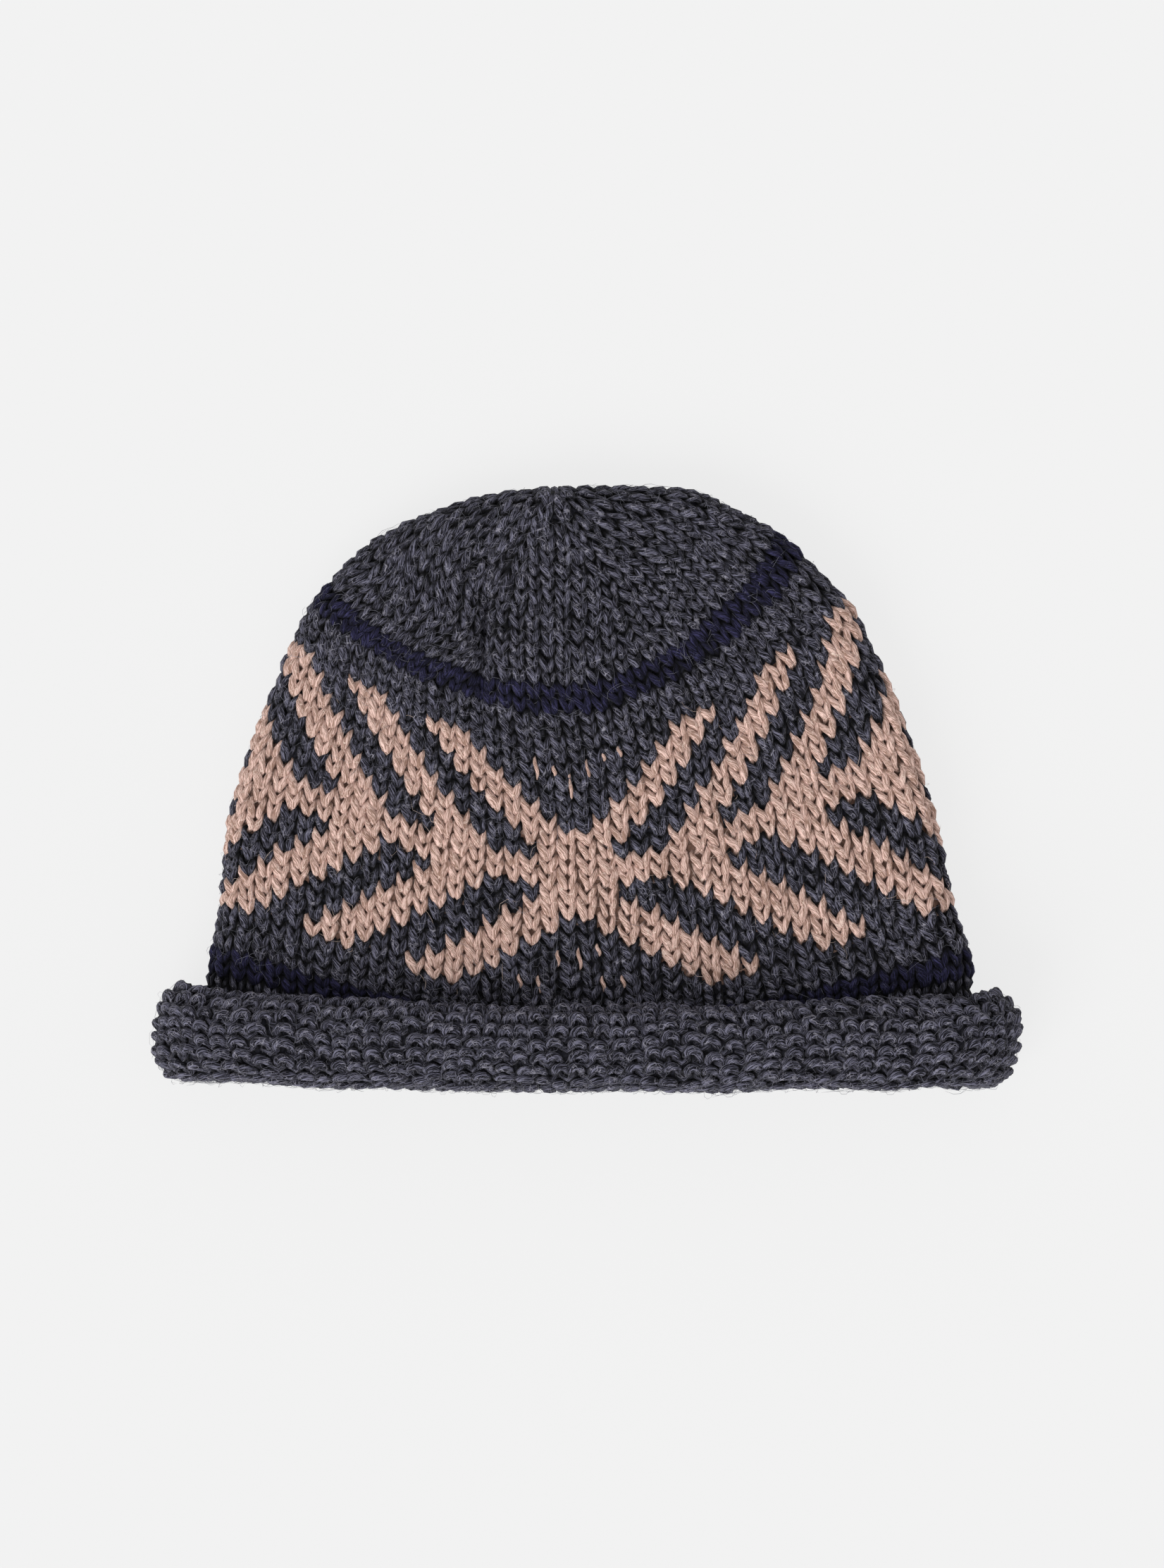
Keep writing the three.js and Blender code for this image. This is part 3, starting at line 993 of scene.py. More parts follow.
def pole_gather():
    """The yarn's end, drawn to and fro across the last loops of the crown to close it."""
    tubes = YarnMesh()
    slope = np.linspace(-math.pi / 2, math.pi / 2, GATHER_POINTS)
    outward = np.stack((np.zeros(GATHER_POINTS), np.cos(slope), np.sin(slope)), -1)
    radii = np.full(GATHER_POINTS, GATHER_RADIUS)
    heights = np.full(GATHER_POINTS, GATHER_OUT)
    for strand in range(GATHER_STRANDS):
        across = strand - (GATHER_STRANDS - 1) / 2
        x = GATHER_MIDDLE[0] + GATHER_PITCH * (across + GATHER_SLANT * np.sin(slope))
        y = GATHER_MIDDLE[1] + GATHER_SWELL * np.cos(slope) * (1 - GATHER_TAPER * across**2)
        z = GATHER_MIDDLE[2] + GATHER_HEIGHT / 2 * np.sin(slope)
        points = np.stack((x, y, z), -1)
        along = lengths_along(points) + GATHER_CUT * strand
        tubes.add_tube(points, outward, radii, GATHER_SIDES, along, heights)
    return tubes.to_mesh("crown_gather")


def glimpses_mesh():
    """The short lengths of carried yarn that show between the charcoal stitches."""
    tubes = YarnMesh()
    steps = np.linspace(0, 1, GLIMPSE_POINTS)
    bow = np.sqrt(np.sin(math.pi * steps).clip(0))
    radii = GLIMPSE_END_RADIUS + GLIMPSE_BULGE * bow
    out = GLIMPSE_OUT - GLIMPSE_DIP * (1 - bow)
    for middle, row, length in GLIMPSES:
        wale = middle + GLIMPSE_SWAY * np.sin(2 * math.pi * steps)
        points, normals = WALL.knitted(wale, row + length * steps, out)
        along = lengths_along(points) + GLIMPSE_CUT * row
        tubes.add_tube(points, normals, radii, GLIMPSE_SIDES, along, out)
    return tubes.to_mesh("carried_yarn_glimpses")


def web_mesh(name, cloth, rows, wanted):
    """A sheet of matted fibres and painted shade inside the fabric, of no thickness, with a quad behind each
    wanted stitch.
    """
    wales = np.arange(cloth.wales)
    out = np.full(len(wales), -cloth.shown_side * WEB_DEPTH)
    loops = [cloth.knitted(wales.astype(float), np.full(len(wales), float(row)), out)[0] for row in rows]
    points = np.stack(loops)
    points[..., 2] = np.maximum(points[..., 2], WEB_LOWEST)
    index = np.arange(points.size // 3).reshape(points.shape[:2])
    following = np.roll(index, -1, axis=1)
    quads = np.stack((index[:-1], following[:-1], following[1:], index[1:]), -1)
    kept = [[wanted(wale + 0.5, row) for wale in wales] for row in rows[:-1]]
    used, corners = np.unique(quads[np.array(kept)], return_inverse=True)
    mesh = bpy.data.meshes.new(name)
    places = points.reshape(-1, 3)[used] * MILLIMETRE
    mesh.from_pydata(places.tolist(), [], corners.reshape(-1, 4).tolist())
    mesh.update()
    return mesh


def stitch_size(cloth, wale, row):
    """How many millimetres a wale and a row measure at places on the cloth, from half a step of each."""
    here = cloth.at(wale, row)[0]
    along = cloth.at(wale + 0.5, row)[0]
    up = cloth.at(wale, row + 0.5)[0]
    wide = 2 * np.linalg.norm(along - here, axis=-1)
    tall = 2 * np.linalg.norm(up - here, axis=-1)
    return np.maximum(wide, LEAST_STITCH), np.maximum(tall, LEAST_STITCH)


def scatter_fibres(tubes, cloth, count, rows, rng, wanted=anywhere, spread=2 * math.pi):
    """Loose fibres that lie over the stitches in low curls. spread is the angle that they lie within."""
    side = rng.choice((0.0, 0.5), count, p=(FRONT_SHARE, 1 - FRONT_SHARE))
    wale = (rng.uniform(-FRONT_REACH, FRONT_REACH, count) + side) * cloth.wales
    row = rng.uniform(*rows, count)
    heading = rng.uniform(-spread / 2, spread / 2, count)
    curl = rng.normal(0, FIBRE_CURL, count)
    length = rng.gamma(*FIBRE_LENGTH_SPREAD, count).clip(*FIBRE_LENGTH_LIMITS)
    lift = rng.gamma(*FIBRE_LIFT_SPREAD, count).clip(*FIBRE_LIFT_LIMITS)
    free = rng.random(count) ** 3 * FIBRE_FREE_RISE
    radius = rng.uniform(*FIBRE_RADII, count)
    wide, tall = stitch_size(cloth, wale, row)
    steps = np.linspace(0, 1, FIBRE_SEGMENTS + 1)[None, :]
    angle = heading[:, None] + curl[:, None] * (steps - 0.5) * 2
    step = length[:, None] / FIBRE_SEGMENTS
    ahead = np.cumsum(np.cos(angle) * step, axis=1) / wide[:, None]
    upward = np.cumsum(np.sin(angle) * step, axis=1) / tall[:, None]
    out = FIBRE_ROOT + lift[:, None] * np.sin(math.pi * steps) + free[:, None] * steps**2
    shown_side = cloth.shown_side
    points, normals = cloth.knitted(wale[:, None] + ahead, row[:, None] + upward, shown_side * out)
    taper = np.array((FIBRE_TIP,) + (1.0,) * (FIBRE_SEGMENTS - 1) + (FIBRE_TIP,))
    for i in range(count):
        if wanted(wale[i], row[i]):
            along = lengths_along(points[i])
            outward = normals[i] * shown_side
            tubes.add_tube(points[i], outward, radius[i] * taper, FIBRE_SIDES, along, out[i])


def new_group(name, inputs, outputs):
    group = bpy.data.node_groups.new(name, "ShaderNodeTree")
    for label, kind, default in inputs:
        socket = group.interface.new_socket(label, in_out="INPUT", socket_type=kind)
        if default is not None:
            socket.default_value = default
    for label, kind in outputs:
        group.interface.new_socket(label, in_out="OUTPUT", socket_type=kind)
    return group


def add_node(tree, kind, label, settings=None, inputs=None):
    """A node with its settings, and inputs given as values or as the sockets that feed them."""
    node = tree.nodes.new(kind)
    node.label = label
    for key, value in (settings or {}).items():
        setattr(node, key, value)
    for key, value in (inputs or {}).items():
        if isinstance(value, bpy.types.NodeSocket):
            tree.links.new(value, node.inputs[key])
        else:
            node.inputs[key].default_value = value
    return node


def calculate(tree, operation, first, second=0.0, third=0.0):
    """The result of a Math node. An operation of fewer numbers leaves the last ones out."""
    inputs = {0: first, 1: second, 2: third}
    return add_node(tree, "ShaderNodeMath", operation.title(), {"operation": operation}, inputs).outputs[0]


def noise(tree, label, vector, scale, detail, roughness):
    inputs = {"Vector": vector, "Scale": scale, "Detail": detail, "Roughness": roughness}
    return add_node(tree, "ShaderNodeTexNoise", label, None, inputs).outputs[0]


def map_range(tree, label, value, low, high):
    inputs = {"Value": value, "From Min": low, "From Max": high}
    return add_node(tree, "ShaderNodeMapRange", label, None, inputs).outputs[0]


def hair_line(tree, label, place, scale, width):
    """A mask of one hair's course over the fabric: where a slow noise crosses its middle value."""
    course = noise(tree, label, place, scale, detail=1.0, roughness=0.4)
    from_line = calculate(tree, "ABSOLUTE", calculate(tree, "SUBTRACT", course, 0.5))
    inputs = {"Value": from_line, "From Min": 0.0, "From Max": width, "To Min": 1.0, "To Max": 0.0}
    return add_node(tree, "ShaderNodeMapRange", label + " mask", None, inputs).outputs[0]


def loose_hairs_group():
    """A mask of fine hairs that cross the stitches every way, in short lengths."""
    name = "Loose hairs"
    if name in bpy.data.node_groups:
        return bpy.data.node_groups[name]
    inputs = (("Place", "NodeSocketVector", None), ("Width", "NodeSocketFloat", 0.012))
    group = new_group(name, inputs, (("Mask", "NodeSocketFloat"),))
    source = add_node(group, "NodeGroupInput", "Inputs")
    place = source.outputs["Place"]
    width = source.outputs["Width"]
    total = None
    for label, turn, scale in HAIR_LAYERS:
        settings = {"rotation_type": "EULER_XYZ"}
        inputs = {"Vector": place, "Rotation": (0.0, 0.0, turn)}
        turned = add_node(group, "ShaderNodeVectorRotate", label + " turn", settings, inputs).outputs[0]
        inputs = {"Vector": turned, "Scale": HAIR_STRETCH}
        stretched = add_node(group, "ShaderNodeMapping", label + " stretch", None, inputs).outputs[0]
        line = hair_line(group, label, stretched, scale, width)
        gaps = noise(group, label + " gaps", turned, HAIR_GAP_SCALE * scale, detail=0.0, roughness=0.5)
        broken = map_range(group, label + " lengths", gaps, *HAIR_GAP)
        hair = calculate(group, "MULTIPLY", line, broken)
        total = hair if total is None else calculate(group, "MAXIMUM", total, hair)
    add_node(group, "NodeGroupOutput", "Outputs", None, {"Mask": total})
    return group


def yarn_fibres_group():
    """The fine fibres of a softly twisted yarn: a tone and a height that run along it in streaks."""
    name = "Yarn fibres"
    if name in bpy.data.node_groups:
        return bpy.data.node_groups[name]
    group = new_group(
        name,
        (
            ("Yarn UV", "NodeSocketVector", None),
            ("Streak Length", "NodeSocketFloat", 3.5),
            ("Streaks Round", "NodeSocketFloat", 3.0),
            ("Twist", "NodeSocketFloat", 0.045),
            ("Dark Below", "NodeSocketFloat", 0.4),
            ("Light Above", "NodeSocketFloat", 0.7),
            ("Patches", "NodeSocketFloat", 0.5),
            ("Single Fibres", "NodeSocketFloat", 0.1),
        ),
        (("Tone", "NodeSocketFloat"), ("Height", "NodeSocketFloat")),
    )
    source = add_node(group, "NodeGroupInput", "Inputs")
    inputs = {"Vector": source.outputs["Yarn UV"]}
    parts = add_node(group, "ShaderNodeSeparateXYZ", "Along and round", None, inputs)
    along = parts.outputs[0]
    lengthwise = calculate(group, "DIVIDE", along, source.outputs["Streak Length"])
    turned = calculate(group, "MULTIPLY_ADD", along, source.outputs["Twist"], parts.outputs[1])
    angle = calculate(group, "MULTIPLY", turned, 2 * math.pi)
    count = source.outputs["Streaks Round"]
    x = calculate(group, "MULTIPLY", calculate(group, "COSINE", angle), count)
    y = calculate(group, "MULTIPLY", calculate(group, "SINE", angle), count)
    inputs = {"X": x, "Y": y, "Z": lengthwise}
    place = add_node(group, "ShaderNodeCombineXYZ", "Place on the yarn", None, inputs).outputs[0]
    streaks = noise(group, "Streaks", place, 1.0, detail=2.0, roughness=0.6)
    hairs = noise(group, "Hairs", place, HAIR_SCALE, detail=1.0, roughness=0.5)
    patches = noise(group, "Patches", place, PATCH_SCALE, detail=1.0, roughness=0.5)
    body = calculate(group, "MULTIPLY_ADD", hairs, 0.5, calculate(group, "MULTIPLY", streaks, 0.5))
    from_middle = calculate(group, "SUBTRACT", patches, 0.5)
    patchy = calculate(group, "MULTIPLY", from_middle, source.outputs["Patches"])
    light_fibres = hair_line(group, "Light fibres", place, LIGHT_FIBRE_SCALE, LIGHT_FIBRE_WIDTH)
    dark_fibres = hair_line(group, "Dark fibres", place, DARK_FIBRE_SCALE, DARK_FIBRE_WIDTH)
    fibres = calculate(group, "SUBTRACT", light_fibres, dark_fibres)
    single = calculate(group, "MULTIPLY", fibres, source.outputs["Single Fibres"])
    mixed = calculate(group, "ADD", calculate(group, "ADD", body, patchy), single)
    tone = map_range(group, "Tone", mixed, source.outputs["Dark Below"], source.outputs["Light Above"])
    add_node(group, "NodeGroupOutput", "Outputs", None, {"Tone": tone, "Height": body})
    return group


def new_material(name):
    material = bpy.data.materials.new(name)
    material.use_nodes = True
    material.node_tree.nodes.clear()
    return material, material.node_tree


def two_tones(tree, label, factor, dark, light):
    """A mix of two colours, each given as a value or as the socket that feeds it."""
    node = add_node(tree, "ShaderNodeMix", label, {"data_type": "RGBA"}, {0: factor})
    for place, colour in zip(MIX_COLOURS, (dark, light)):
        if isinstance(colour, bpy.types.NodeSocket):
            tree.links.new(colour, node.inputs[place])
        else:
            node.inputs[place].default_value = (*colour, 1.0)
    return node.outputs[MIX_RESULT]


def finish_material(tree, label, inputs):
    """Gives a material its shader, with these inputs, and its output."""
    shader = add_node(tree, "ShaderNodeBsdfPrincipled", label, None, inputs)
    add_node(tree, "ShaderNodeOutputMaterial", "Surface", None, {"Surface": shader.outputs[0]})


def finish_wool(tree, colour, roughness, sheen, height, relief):
    """Makes a material matt wool, with its height as a low relief."""
    strength, distance = relief
    inputs = {"Strength": strength, "Distance": distance, "Height": height}
    bump = add_node(tree, "ShaderNodeBump", "Fibre relief", None, inputs)
    inputs = {
        "Base Color": colour,
        "Roughness": roughness,
        "Specular IOR Level": WOOL_SPECULAR,
        "Sheen Weight": sheen,
        "Sheen Roughness": SHEEN_ROUGHNESS,
        "Normal": bump.outputs[0],
    }
    finish_material(tree, "Wool", inputs)


def yarn_material(yarn, on_brim=False):
    """Softly twisted wool in two tones of one colour, streaked along the yarn, with painted shade deep
    between the stitches.
    """
    name = yarn.title() + (" brim wool" if on_brim else " wool")
    if name in bpy.data.materials:
        return bpy.data.materials[name]
    colours = bpy.context.scene.watch_cap_colours
    look = YARNS[yarn]
    lowest, highest = BRIM_PAINTED_SHADE_FADE if on_brim else look["painted_shade_fade"]
    material, tree = new_material(name)
    uv = add_node(tree, "ShaderNodeUVMap", "Yarn UV", {"uv_map": "yarn"})
    inputs = {
        "Yarn UV": uv.outputs[0],
        "Streak Length": STREAK_LENGTH,
        "Streaks Round": STREAKS_ROUND,
        "Twist": TWIST,
        "Dark Below": look["dark_below"],
        "Light Above": look["light_above"],
        "Patches": look["patches"],
        "Single Fibres": look["single_fibres"],
    }
    fibres = add_node(tree, "ShaderNodeGroup", "Yarn fibres", {"node_tree": yarn_fibres_group()}, inputs)
    dark = tuple(getattr(colours, yarn + "_dark"))
    light = tuple(getattr(colours, yarn + "_light"))
    place = add_node(tree, "ShaderNodeTexCoord", "Place").outputs["Object"]
    settings = {"node_tree": loose_hairs_group()}
    inputs = {"Place": place, "Width": look["hair_width"]}
    hairs = add_node(tree, "ShaderNodeGroup", "Loose hairs", settings, inputs).outputs[0]
    spun = two_tones(tree, "Yarn colour", fibres.outputs["Tone"], dark, light)
    own = two_tones(tree, "Hair colour", hairs, spun, look["hair"])
    # Painted shade: the yarn goes towards a darker share of its dark tone where it lies deep between the
    # stitches, by its height out of the fabric.
    height = add_node(tree, "ShaderNodeAttribute", "Height", {"attribute_name": "height"}).outputs["Fac"]
    painted_shade_fade = map_range(tree, "Painted shade fade", calculate(tree, "ABSOLUTE", height), lowest, highest)
    colour = two_tones(tree, "Depth", painted_shade_fade, shaded(dark, PAINTED_SHADE_SHARE), own)
    finish_wool(tree, colour, YARN_ROUGHNESS, look["sheen"], fibres.outputs["Height"], YARN_RELIEF)
    return material


def plain_material(name, first, share, mottling, sheen):
    """Loose fibres, or matted ones that are painted shade between the stitches, mottled from place to place
    between a first tone and a share of it.
    """
    if name in bpy.data.materials:
        return bpy.data.materials[name]
    first = tuple(first)
    dark, light = sorted((first, shaded(first, share)))
    material, tree = new_material(name)
    place = add_node(tree, "ShaderNodeTexCoord", "Place").outputs["Object"]
    mottle = noise(tree, "Mottle", place, mottling, detail=2.0, roughness=0.6)
    colour = two_tones(tree, "Fibre colour", map_range(tree, "Tone", mottle, *MOTTLE_RANGE), dark, light)
    finish_wool(tree, colour, FIBRE_ROUGHNESS, sheen, mottle, FIBRE_RELIEF)
    return material


def must_finish(result):
    """Stops the script where one of Blender's operators was cancelled, which by itself stops nothing."""
    if "FINISHED" not in result:
        raise RuntimeError("One of Blender's operators was cancelled.")


def add_piece(mesh, material, node):
    """A finished piece of the cap: at the origin, riding with the cap, in place of its plain solid."""
    if not mesh.polygons:
        raise RuntimeError(f"{mesh.name} came out empty.")
    piece = bpy.data.objects.new(mesh.name, mesh)
    bpy.context.scene.collection.objects.link(piece)
    mesh.materials.append(material)
    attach(piece, "root")
    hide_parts(node)
    return piece


def select_only(piece):
    bpy.ops.object.select_all(action="DESELECT")
    piece.select_set(True)
    bpy.context.view_layer.objects.active = piece


class WatchCapYarn(bpy.types.PropertyGroup):
    """The sizes of the yarn and how evenly it is knitted."""

    wall_yarn: bpy.props.FloatProperty(
        name="Wall Yarn",
        description="How thick the yarn of the wall's stitches is at its fattest",
        default=2 * WALL_LOOK["radius"] * MILLIMETRE,
        unit="LENGTH",
        subtype="DISTANCE",
    )
    brim_yarn: bpy.props.FloatProperty(
        name="Brim Yarn",
        description="How thick the yarn of the rolled brim's stitches is at its fattest",
        default=2 * ROLL_LOOK["radius"] * MILLIMETRE,
        unit="LENGTH",
        subtype="DISTANCE",
    )
    unevenness: bpy.props.FloatProperty(
        name="Unevenness",
        description="How much one stitch differs from the next, where 1 is this cap's hand knitting",
        default=1.0,
        subtype="FACTOR",
        min=0.0,
        max=2.0,
    )
    # The web is a sheet of matted fibres whose dark colour is painted shade in the gaps between the
    # stitches.
    web_thickness: bpy.props.FloatProperty(
        name="Web Thickness",
        description="How thick the matted fibres are that fill the gaps between the stitches",
        default=0.7 * MILLIMETRE,
        unit="LENGTH",
        subtype="DISTANCE",
    )
    fibres: bpy.props.IntProperty(
        name="Fibres",
        description="How many loose fibres lie over the whole cap",
        default=5000,
        min=100,
    )


def colour_property(name, description, default):
    return bpy.props.FloatVectorProperty(
        name=name,
        description=description,
        default=default,
        subtype="COLOR",
        size=3,
        min=0.0,
        max=1.0,
    )


class WatchCapColours(bpy.types.PropertyGroup):
    """The colours of the yarns, dark and light, of their loose fibres, and of the webs, whose darkness is
    painted shade between the stitches.
    """

    charcoal_dark: colour_property(
        "Charcoal Dark", "The dark fibres of the charcoal yarn", (0.0055, 0.0052, 0.009)
    )
    charcoal_light: colour_property(
        "Charcoal Light", "The light fibres of the charcoal yarn", (0.185, 0.181, 0.248)
    )
    navy_dark: colour_property("Navy Dark", "The dark fibres of the navy yarn", (0.003, 0.0028, 0.011))
    navy_light: colour_property("Navy Light", "The light fibres of the navy yarn", (0.046, 0.043, 0.118))
    beige_dark: colour_property("Beige Dark", "The dark fibres of the beige yarn", (0.3, 0.18, 0.135))
    beige_light: colour_property("Beige Light", "The light fibres of the beige yarn", (0.92, 0.65, 0.575))
    grey_fibre: colour_property(
        "Grey Fibre", "The loose fibres of the charcoal and navy yarn", (0.2, 0.2, 0.25)
    )
    pale_fibre: colour_property("Pale Fibre", "The loose fibres of the beige yarn", (0.72, 0.56, 0.48))
    # The web colours are painted shade: the dark and the brown of the gaps between the stitches, laid on
    # matted fibres.
    web: colour_property(
        "Web", "The matted fibres deep between the charcoal stitches", (0.01, 0.01, 0.014)
    )
    beige_web: colour_property(
        "Beige Web", "The matted fibres deep between the beige stitches", (0.13, 0.075, 0.056)
    )


class WatchCapStudio(bpy.types.PropertyGroup):
    """The floor and the light of the studio."""

    floor_size: bpy.props.FloatProperty(
        name="Floor Size",
        description="How wide the studio floor is",
        default=30.0,
        unit="LENGTH",
        subtype="DISTANCE",
    )
    floor_colour: colour_property("Floor", "The pale floor's own colour", (0.1, 0.1, 0.1))
    floor_glow: bpy.props.FloatProperty(
        name="Floor Glow",
        description="How brightly the floor is lit from under it, as a light table is",
        default=0.78,
    )
    sky: bpy.props.FloatProperty(
        name="Sky",
        description="How strong the light from all round is",
        default=0.7,
    )
    key: bpy.props.FloatProperty(
        name="Key",
        description="How strong the main soft light is",
        default=1.84,
    )
    key_width: bpy.props.FloatProperty(
        name="Key Width",
        description="How wide the main light looks from the cap",
        default=0.7,
        unit="ROTATION",
        subtype="ANGLE",
    )


def set_look(look, thickness):
    """A kind of stitch's shape, with the thickness of its yarn and the unevenness that are set now."""
    unevenness = bpy.context.scene.watch_cap_yarn.unevenness
    return {**look, "radius": thickness / MILLIMETRE / 2, "uneven": look["uneven"] * unevenness}


class WATCH_CAP_OT_knit_brim(bpy.types.Operator):
    """Knits the rolled brim, purl side out, in a front and a back half"""

    bl_idname = "watch_cap.knit_brim"
    bl_label = "Knit Rolled Brim"

    def execute(self, context):
        look = set_look(ROLL_LOOK, context.scene.watch_cap_yarn.brim_yarn)
        for side in HALVES:
            rows = range(-ROLL_ROWS, 0)
            mesh = knit_piece("rolled_brim_" + side, ROLL_PATTERN, rows, brim_detail, look, side)
            add_piece(mesh, yarn_material("charcoal", on_brim=True), "rolled_brim")
        return {"FINISHED"}


class WATCH_CAP_OT_knit_stripes(bpy.types.Operator):
    """Knits the two navy stripes"""

    bl_idname = "watch_cap.knit_stripes"
    bl_label = "Knit Stripes"

    def execute(self, context):
        look = set_look(WALL_LOOK, context.scene.watch_cap_yarn.wall_yarn)
        for stripe, rows in (("lower_stripe", LOWER_STRIPE_ROWS), ("upper_stripe", UPPER_STRIPE_ROWS)):
            mesh = knit_piece(stripe + "_yarn", WALL_PATTERN, rows, wall_detail, look)
            add_piece(mesh, yarn_material("navy"), stripe)
        return {"FINISHED"}


class WATCH_CAP_OT_knit_side_wall(bpy.types.Operator):
    """Knits the side wall with its motif: the charcoal and the beige stitches of the front and the back"""

    bl_idname = "watch_cap.knit_side_wall"
    bl_label = "Knit Side Wall"

    def execute(self, context):
        look = set_look(WALL_LOOK, context.scene.watch_cap_yarn.wall_yarn)
        for side in HALVES:
            for yarn in ("charcoal", "beige"):
                name = f"side_wall_{yarn}_{side}"
                rows = range(0, UPPER_STRIPE_ROWS[0])
                mesh = knit_piece(name, WALL_PATTERN, rows, wall_detail, look, side, yarn)
                add_piece(mesh, yarn_material(yarn), "side_wall")
        return {"FINISHED"}


class WATCH_CAP_OT_knit_crown(bpy.types.Operator):
    """Knits the crown, with its decreases, up to the gathered pole"""

    bl_idname = "watch_cap.knit_crown"
    bl_label = "Knit Crown"

    def execute(self, context):
        look = set_look(WALL_LOOK, context.scene.watch_cap_yarn.wall_yarn)
        look["radius"] *= CROWN_YARN_SHARE
        for side in HALVES:
            rows = range(CROWN_ROW, TOP_ROW + 1)
            mesh = knit_piece("crown_" + side, WALL_PATTERN, rows, wall_detail, look, side)
            add_piece(mesh, yarn_material("charcoal"), "crown")
        add_piece(pole_gather(), yarn_material("charcoal"), "crown")
        return {"FINISHED"}


class WATCH_CAP_OT_lay_web(bpy.types.Operator):
    """Lays the matted fibres that close the gaps between the stitches, deep in the fabric, dark as painted
    shade
    """

    bl_idname = "watch_cap.lay_web"
    bl_label = "Lay Fibre Web"

    def execute(self, context):
        colours = context.scene.watch_cap_colours
        # Painted shade: the dark and the brown webs stand for the shade in the gaps between the stitches, as
        # matted fibres.
        dark = plain_material("Matted wool", colours.web, SHADE_WEB_SHARE, WEB_MOTTLE, 0.0)
        brown_painted_shade = plain_material("Matted beige wool", colours.beige_web, BEIGE_SHADE_WEB_SHARE, WEB_MOTTLE, 0.0)
        brim_rows = range(-ROLL_ROWS, 1)
        wall_rows = range(0, CROWN_ROW + 1)
        crown_rows = (*range(CROWN_ROW, TOP_ROW + 1), LAST_ROW)
        webs = (
            ("rolled_brim_web", ROLL, brim_rows, anywhere, dark, "rolled_brim", "charcoal_yarn"),
            ("side_wall_web", WALL, wall_rows, not_beige_at, dark, "side_wall", "charcoal_yarn"),
            ("side_wall_beige_web", WALL, wall_rows, beige_at, brown_painted_shade, "side_wall", "beige_yarn"),
            ("crown_web", WALL, crown_rows, anywhere, dark, "crown", "charcoal_yarn"),
        )
        for name, cloth, rows, wanted, material, node, slot in webs:
            piece = add_piece(web_mesh(name, cloth, rows, wanted), material, node)
            select_only(piece)
            must_finish(bpy.ops.object.modifier_add(type="SOLIDIFY"))
            solidify = piece.modifiers[-1]
            solidify.thickness = context.scene.watch_cap_yarn.web_thickness
            solidify.offset = 0.0
            must_finish(bpy.ops.object.modifier_apply(modifier=solidify.name))
        return {"FINISHED"}


class WATCH_CAP_OT_show_carried_yarn(bpy.types.Operator):
    """Lets the beige yarn that is carried behind the charcoal stitches peep out between them"""

    bl_idname = "watch_cap.show_carried_yarn"
    bl_label = "Show Carried Yarn"

    def execute(self, context):
        add_piece(glimpses_mesh(), yarn_material("beige"), "side_wall")
        return {"FINISHED"}


class WATCH_CAP_OT_add_fibres(bpy.types.Operator):
    """Scatters the loose fibres of the wool over the cap"""

    bl_idname = "watch_cap.add_fibres"
    bl_label = "Add Loose Fibres"

    def execute(self, context):
        rng = np.random.default_rng(FIBRE_SEED)
        total = context.scene.watch_cap_yarn.fibres
        colours = context.scene.watch_cap_colours
        grey = plain_material("Grey fibre", colours.grey_fibre, GREY_FIBRE_SHARE, FIBRE_MOTTLE, FIBRE_SHEEN)
        pale = plain_material("Pale fibre", colours.pale_fibre, PALE_FIBRE_SHARE, FIBRE_MOTTLE, FIBRE_SHEEN)
        scatters = (
            ("rolled_brim_fibres", ROLL, anywhere, grey, "rolled_brim", "charcoal_yarn"),
            ("side_wall_grey_fibres", WALL, not_beige_at, grey, "side_wall", "charcoal_yarn"),
            ("side_wall_pale_fibres", WALL, beige_at, pale, "side_wall", "beige_yarn"),
            ("crown_fibres", WALL, anywhere, grey, "crown", "charcoal_yarn"),
        )
        for name, cloth, wanted, material, node, slot in scatters:
            share, rows = FIBRE_REGIONS[name]
            tubes = YarnMesh()
            scatter_fibres(tubes, cloth, int(total * share), rows, rng, wanted)
            if cloth is ROLL:
                count = int(total * MATTED_SHARE)
                scatter_fibres(tubes, cloth, count, MATTED_FIBRE_ROWS, rng, spread=MATTED_SPREAD)
            add_piece(tubes.to_mesh(name), material, node)
        return {"FINISHED"}


def paper_material(studio):
    """The floor's pale paper, faintly grained and glowing."""
    material, tree = new_material("Studio floor")
    place = add_node(tree, "ShaderNodeTexCoord", "Place").outputs["Object"]
    grain = noise(tree, "Paper grain", place, PAPER_GRAIN, detail=2.0, roughness=0.5)
    paper = tuple(studio.floor_colour)
    inputs = {
        "Base Color": two_tones(tree, "Paper colour", grain, shaded(paper, PAPER_SHADE), paper),
        "Roughness": 1.0,
        "Specular IOR Level": 0.0,
        "Emission Color": WHITE,
        "Emission Strength": studio.floor_glow,
    }
    finish_material(tree, "Paper", inputs)
    return material


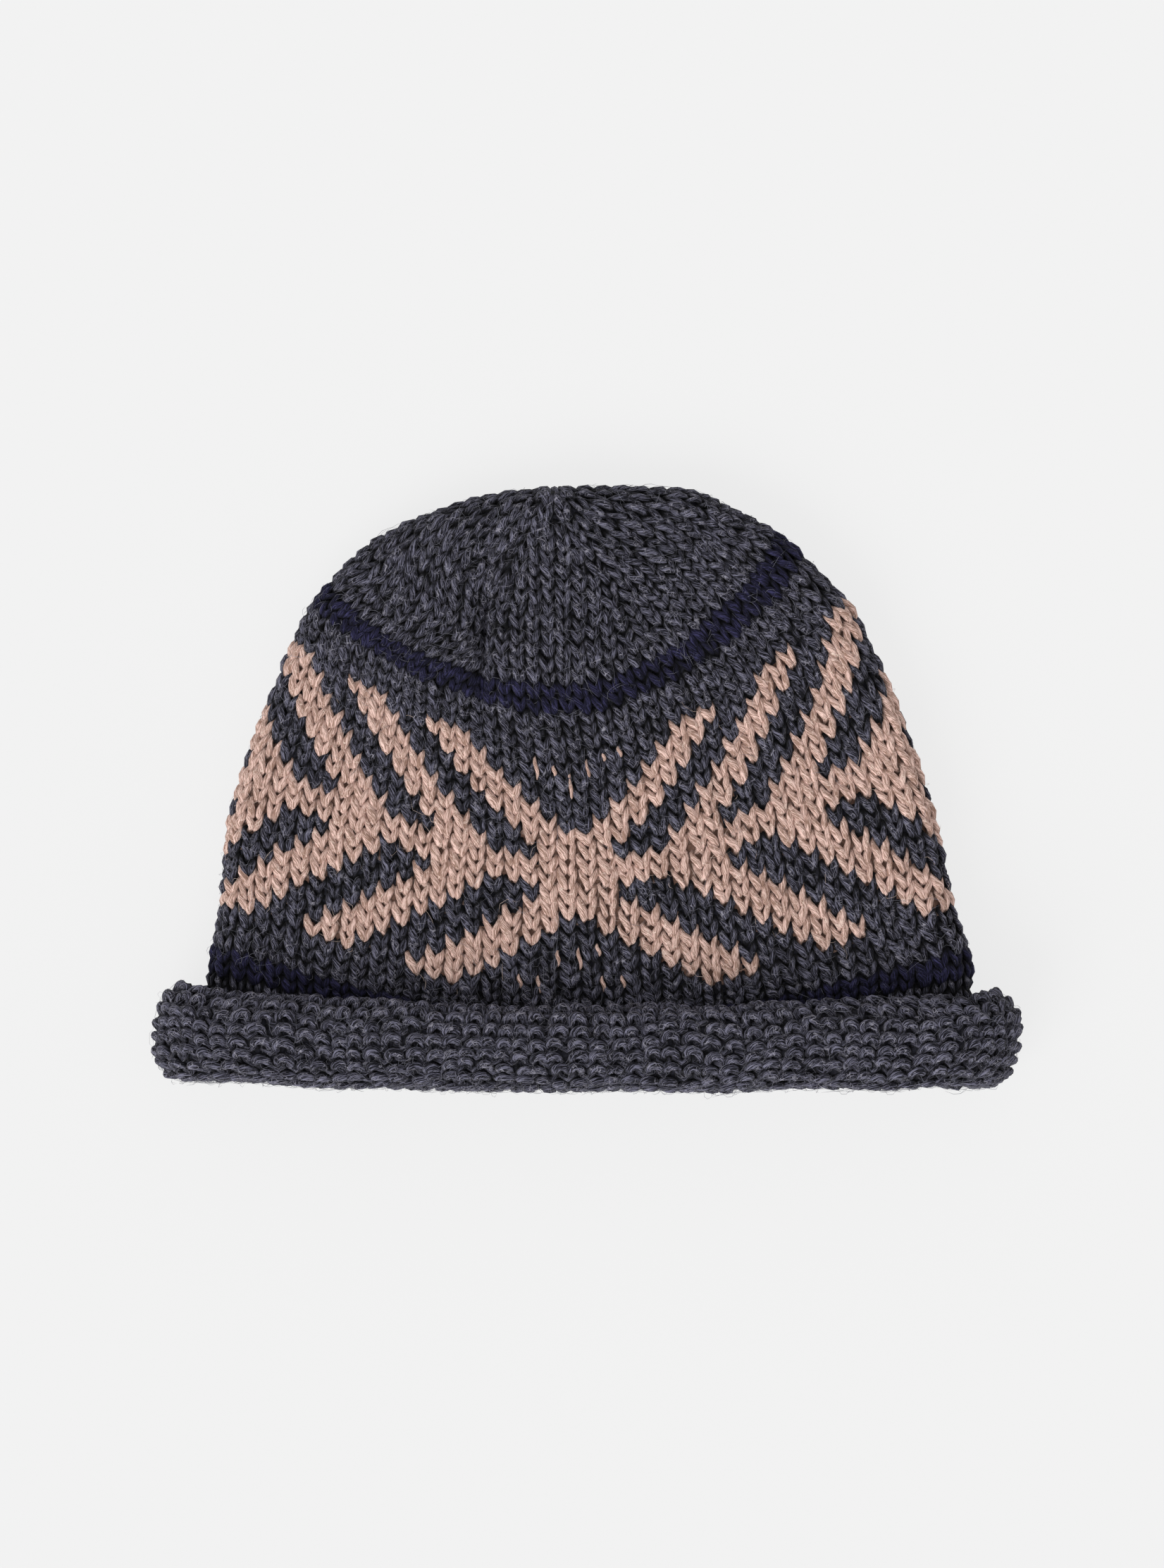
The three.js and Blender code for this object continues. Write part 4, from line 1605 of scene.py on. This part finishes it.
class WATCH_CAP_OT_set_studio(bpy.types.Operator):
    """Sets the floor, the soft light and the camera"""

    bl_idname = "watch_cap.set_studio"
    bl_label = "Set Studio"

    def execute(self, context):
        studio = context.scene.watch_cap_studio
        bpy.ops.object.select_all(action="DESELECT")
        level = (0, 0, FLOOR_LEVEL * MILLIMETRE)
        must_finish(bpy.ops.mesh.primitive_plane_add(size=studio.floor_size, location=level))
        floor = context.object
        floor.name = "studio_floor"
        must_finish(bpy.ops.object.transform_apply(location=True, rotation=True, scale=True))
        floor.data.materials.append(paper_material(studio))

        world = bpy.data.worlds.new("Studio sky")
        world.use_nodes = True
        background = world.node_tree.nodes["Background"]
        background.inputs["Color"].default_value = WHITE
        background.inputs["Strength"].default_value = studio.sky
        context.scene.world = world

        must_finish(bpy.ops.object.light_add(type="SUN", location=KEY_PLACE, rotation=KEY_TURN))
        key = context.object
        key.name = "Key light"
        key.data.energy = studio.key
        key.data.angle = studio.key_width

        height = VIEW_HEIGHT + VIEW_SPAN * LENS / SENSOR
        place = (VIEW_CENTRE[0] * MILLIMETRE, VIEW_CENTRE[1] * MILLIMETRE, height * MILLIMETRE)
        must_finish(bpy.ops.object.camera_add(location=place, rotation=(0.0, 0.0, 0.0)))
        camera = context.object
        camera.data.lens = LENS
        camera.data.sensor_fit = "VERTICAL"
        camera.data.sensor_height = SENSOR
        camera.data.clip_end = FARTHEST_SEEN
        context.scene.camera = camera
        context.scene.view_settings.view_transform = "Standard"
        return {"FINISHED"}


class WATCH_CAP_PT_knitting(bpy.types.Panel):
    """Lists the cap's settings, and its pieces in the order in which they are knitted"""

    bl_label = "Watch Cap"
    bl_idname = "WATCH_CAP_PT_knitting"
    bl_space_type = "VIEW_3D"
    bl_region_type = "UI"
    bl_category = "Watch Cap"

    def draw(self, context):
        layout = self.layout
        for name, settings in SETTINGS:
            box = layout.box()
            for setting in settings.__annotations__:
                box.prop(getattr(context.scene, name), setting)
        for operator in OPERATORS:
            layout.operator(operator.bl_idname)


OPERATORS = (
    WATCH_CAP_OT_knit_brim,
    WATCH_CAP_OT_knit_stripes,
    WATCH_CAP_OT_knit_side_wall,
    WATCH_CAP_OT_knit_crown,
    WATCH_CAP_OT_lay_web,
    WATCH_CAP_OT_show_carried_yarn,
    WATCH_CAP_OT_add_fibres,
    WATCH_CAP_OT_set_studio,
)
SETTINGS = (
    ("watch_cap_yarn", WatchCapYarn),
    ("watch_cap_colours", WatchCapColours),
    ("watch_cap_studio", WatchCapStudio),
)


def register():
    for name, settings in SETTINGS:
        bpy.utils.register_class(settings)
        setattr(bpy.types.Scene, name, bpy.props.PointerProperty(type=settings))
    for operator in OPERATORS:
        bpy.utils.register_class(operator)
    bpy.utils.register_class(WATCH_CAP_PT_knitting)


def unregister():
    bpy.utils.unregister_class(WATCH_CAP_PT_knitting)
    for operator in reversed(OPERATORS):
        bpy.utils.unregister_class(operator)
    for name, settings in reversed(SETTINGS):
        delattr(bpy.types.Scene, name)
        bpy.utils.unregister_class(settings)


def main():
    register()
    bpy.ops.watch_cap.knit_brim()
    bpy.ops.watch_cap.knit_stripes()
    bpy.ops.watch_cap.knit_side_wall()
    bpy.ops.watch_cap.knit_crown()
    bpy.ops.watch_cap.lay_web()
    bpy.ops.watch_cap.show_carried_yarn()
    bpy.ops.watch_cap.add_fibres()
    bpy.ops.watch_cap.set_studio()


if __name__ == "__main__":
    main()
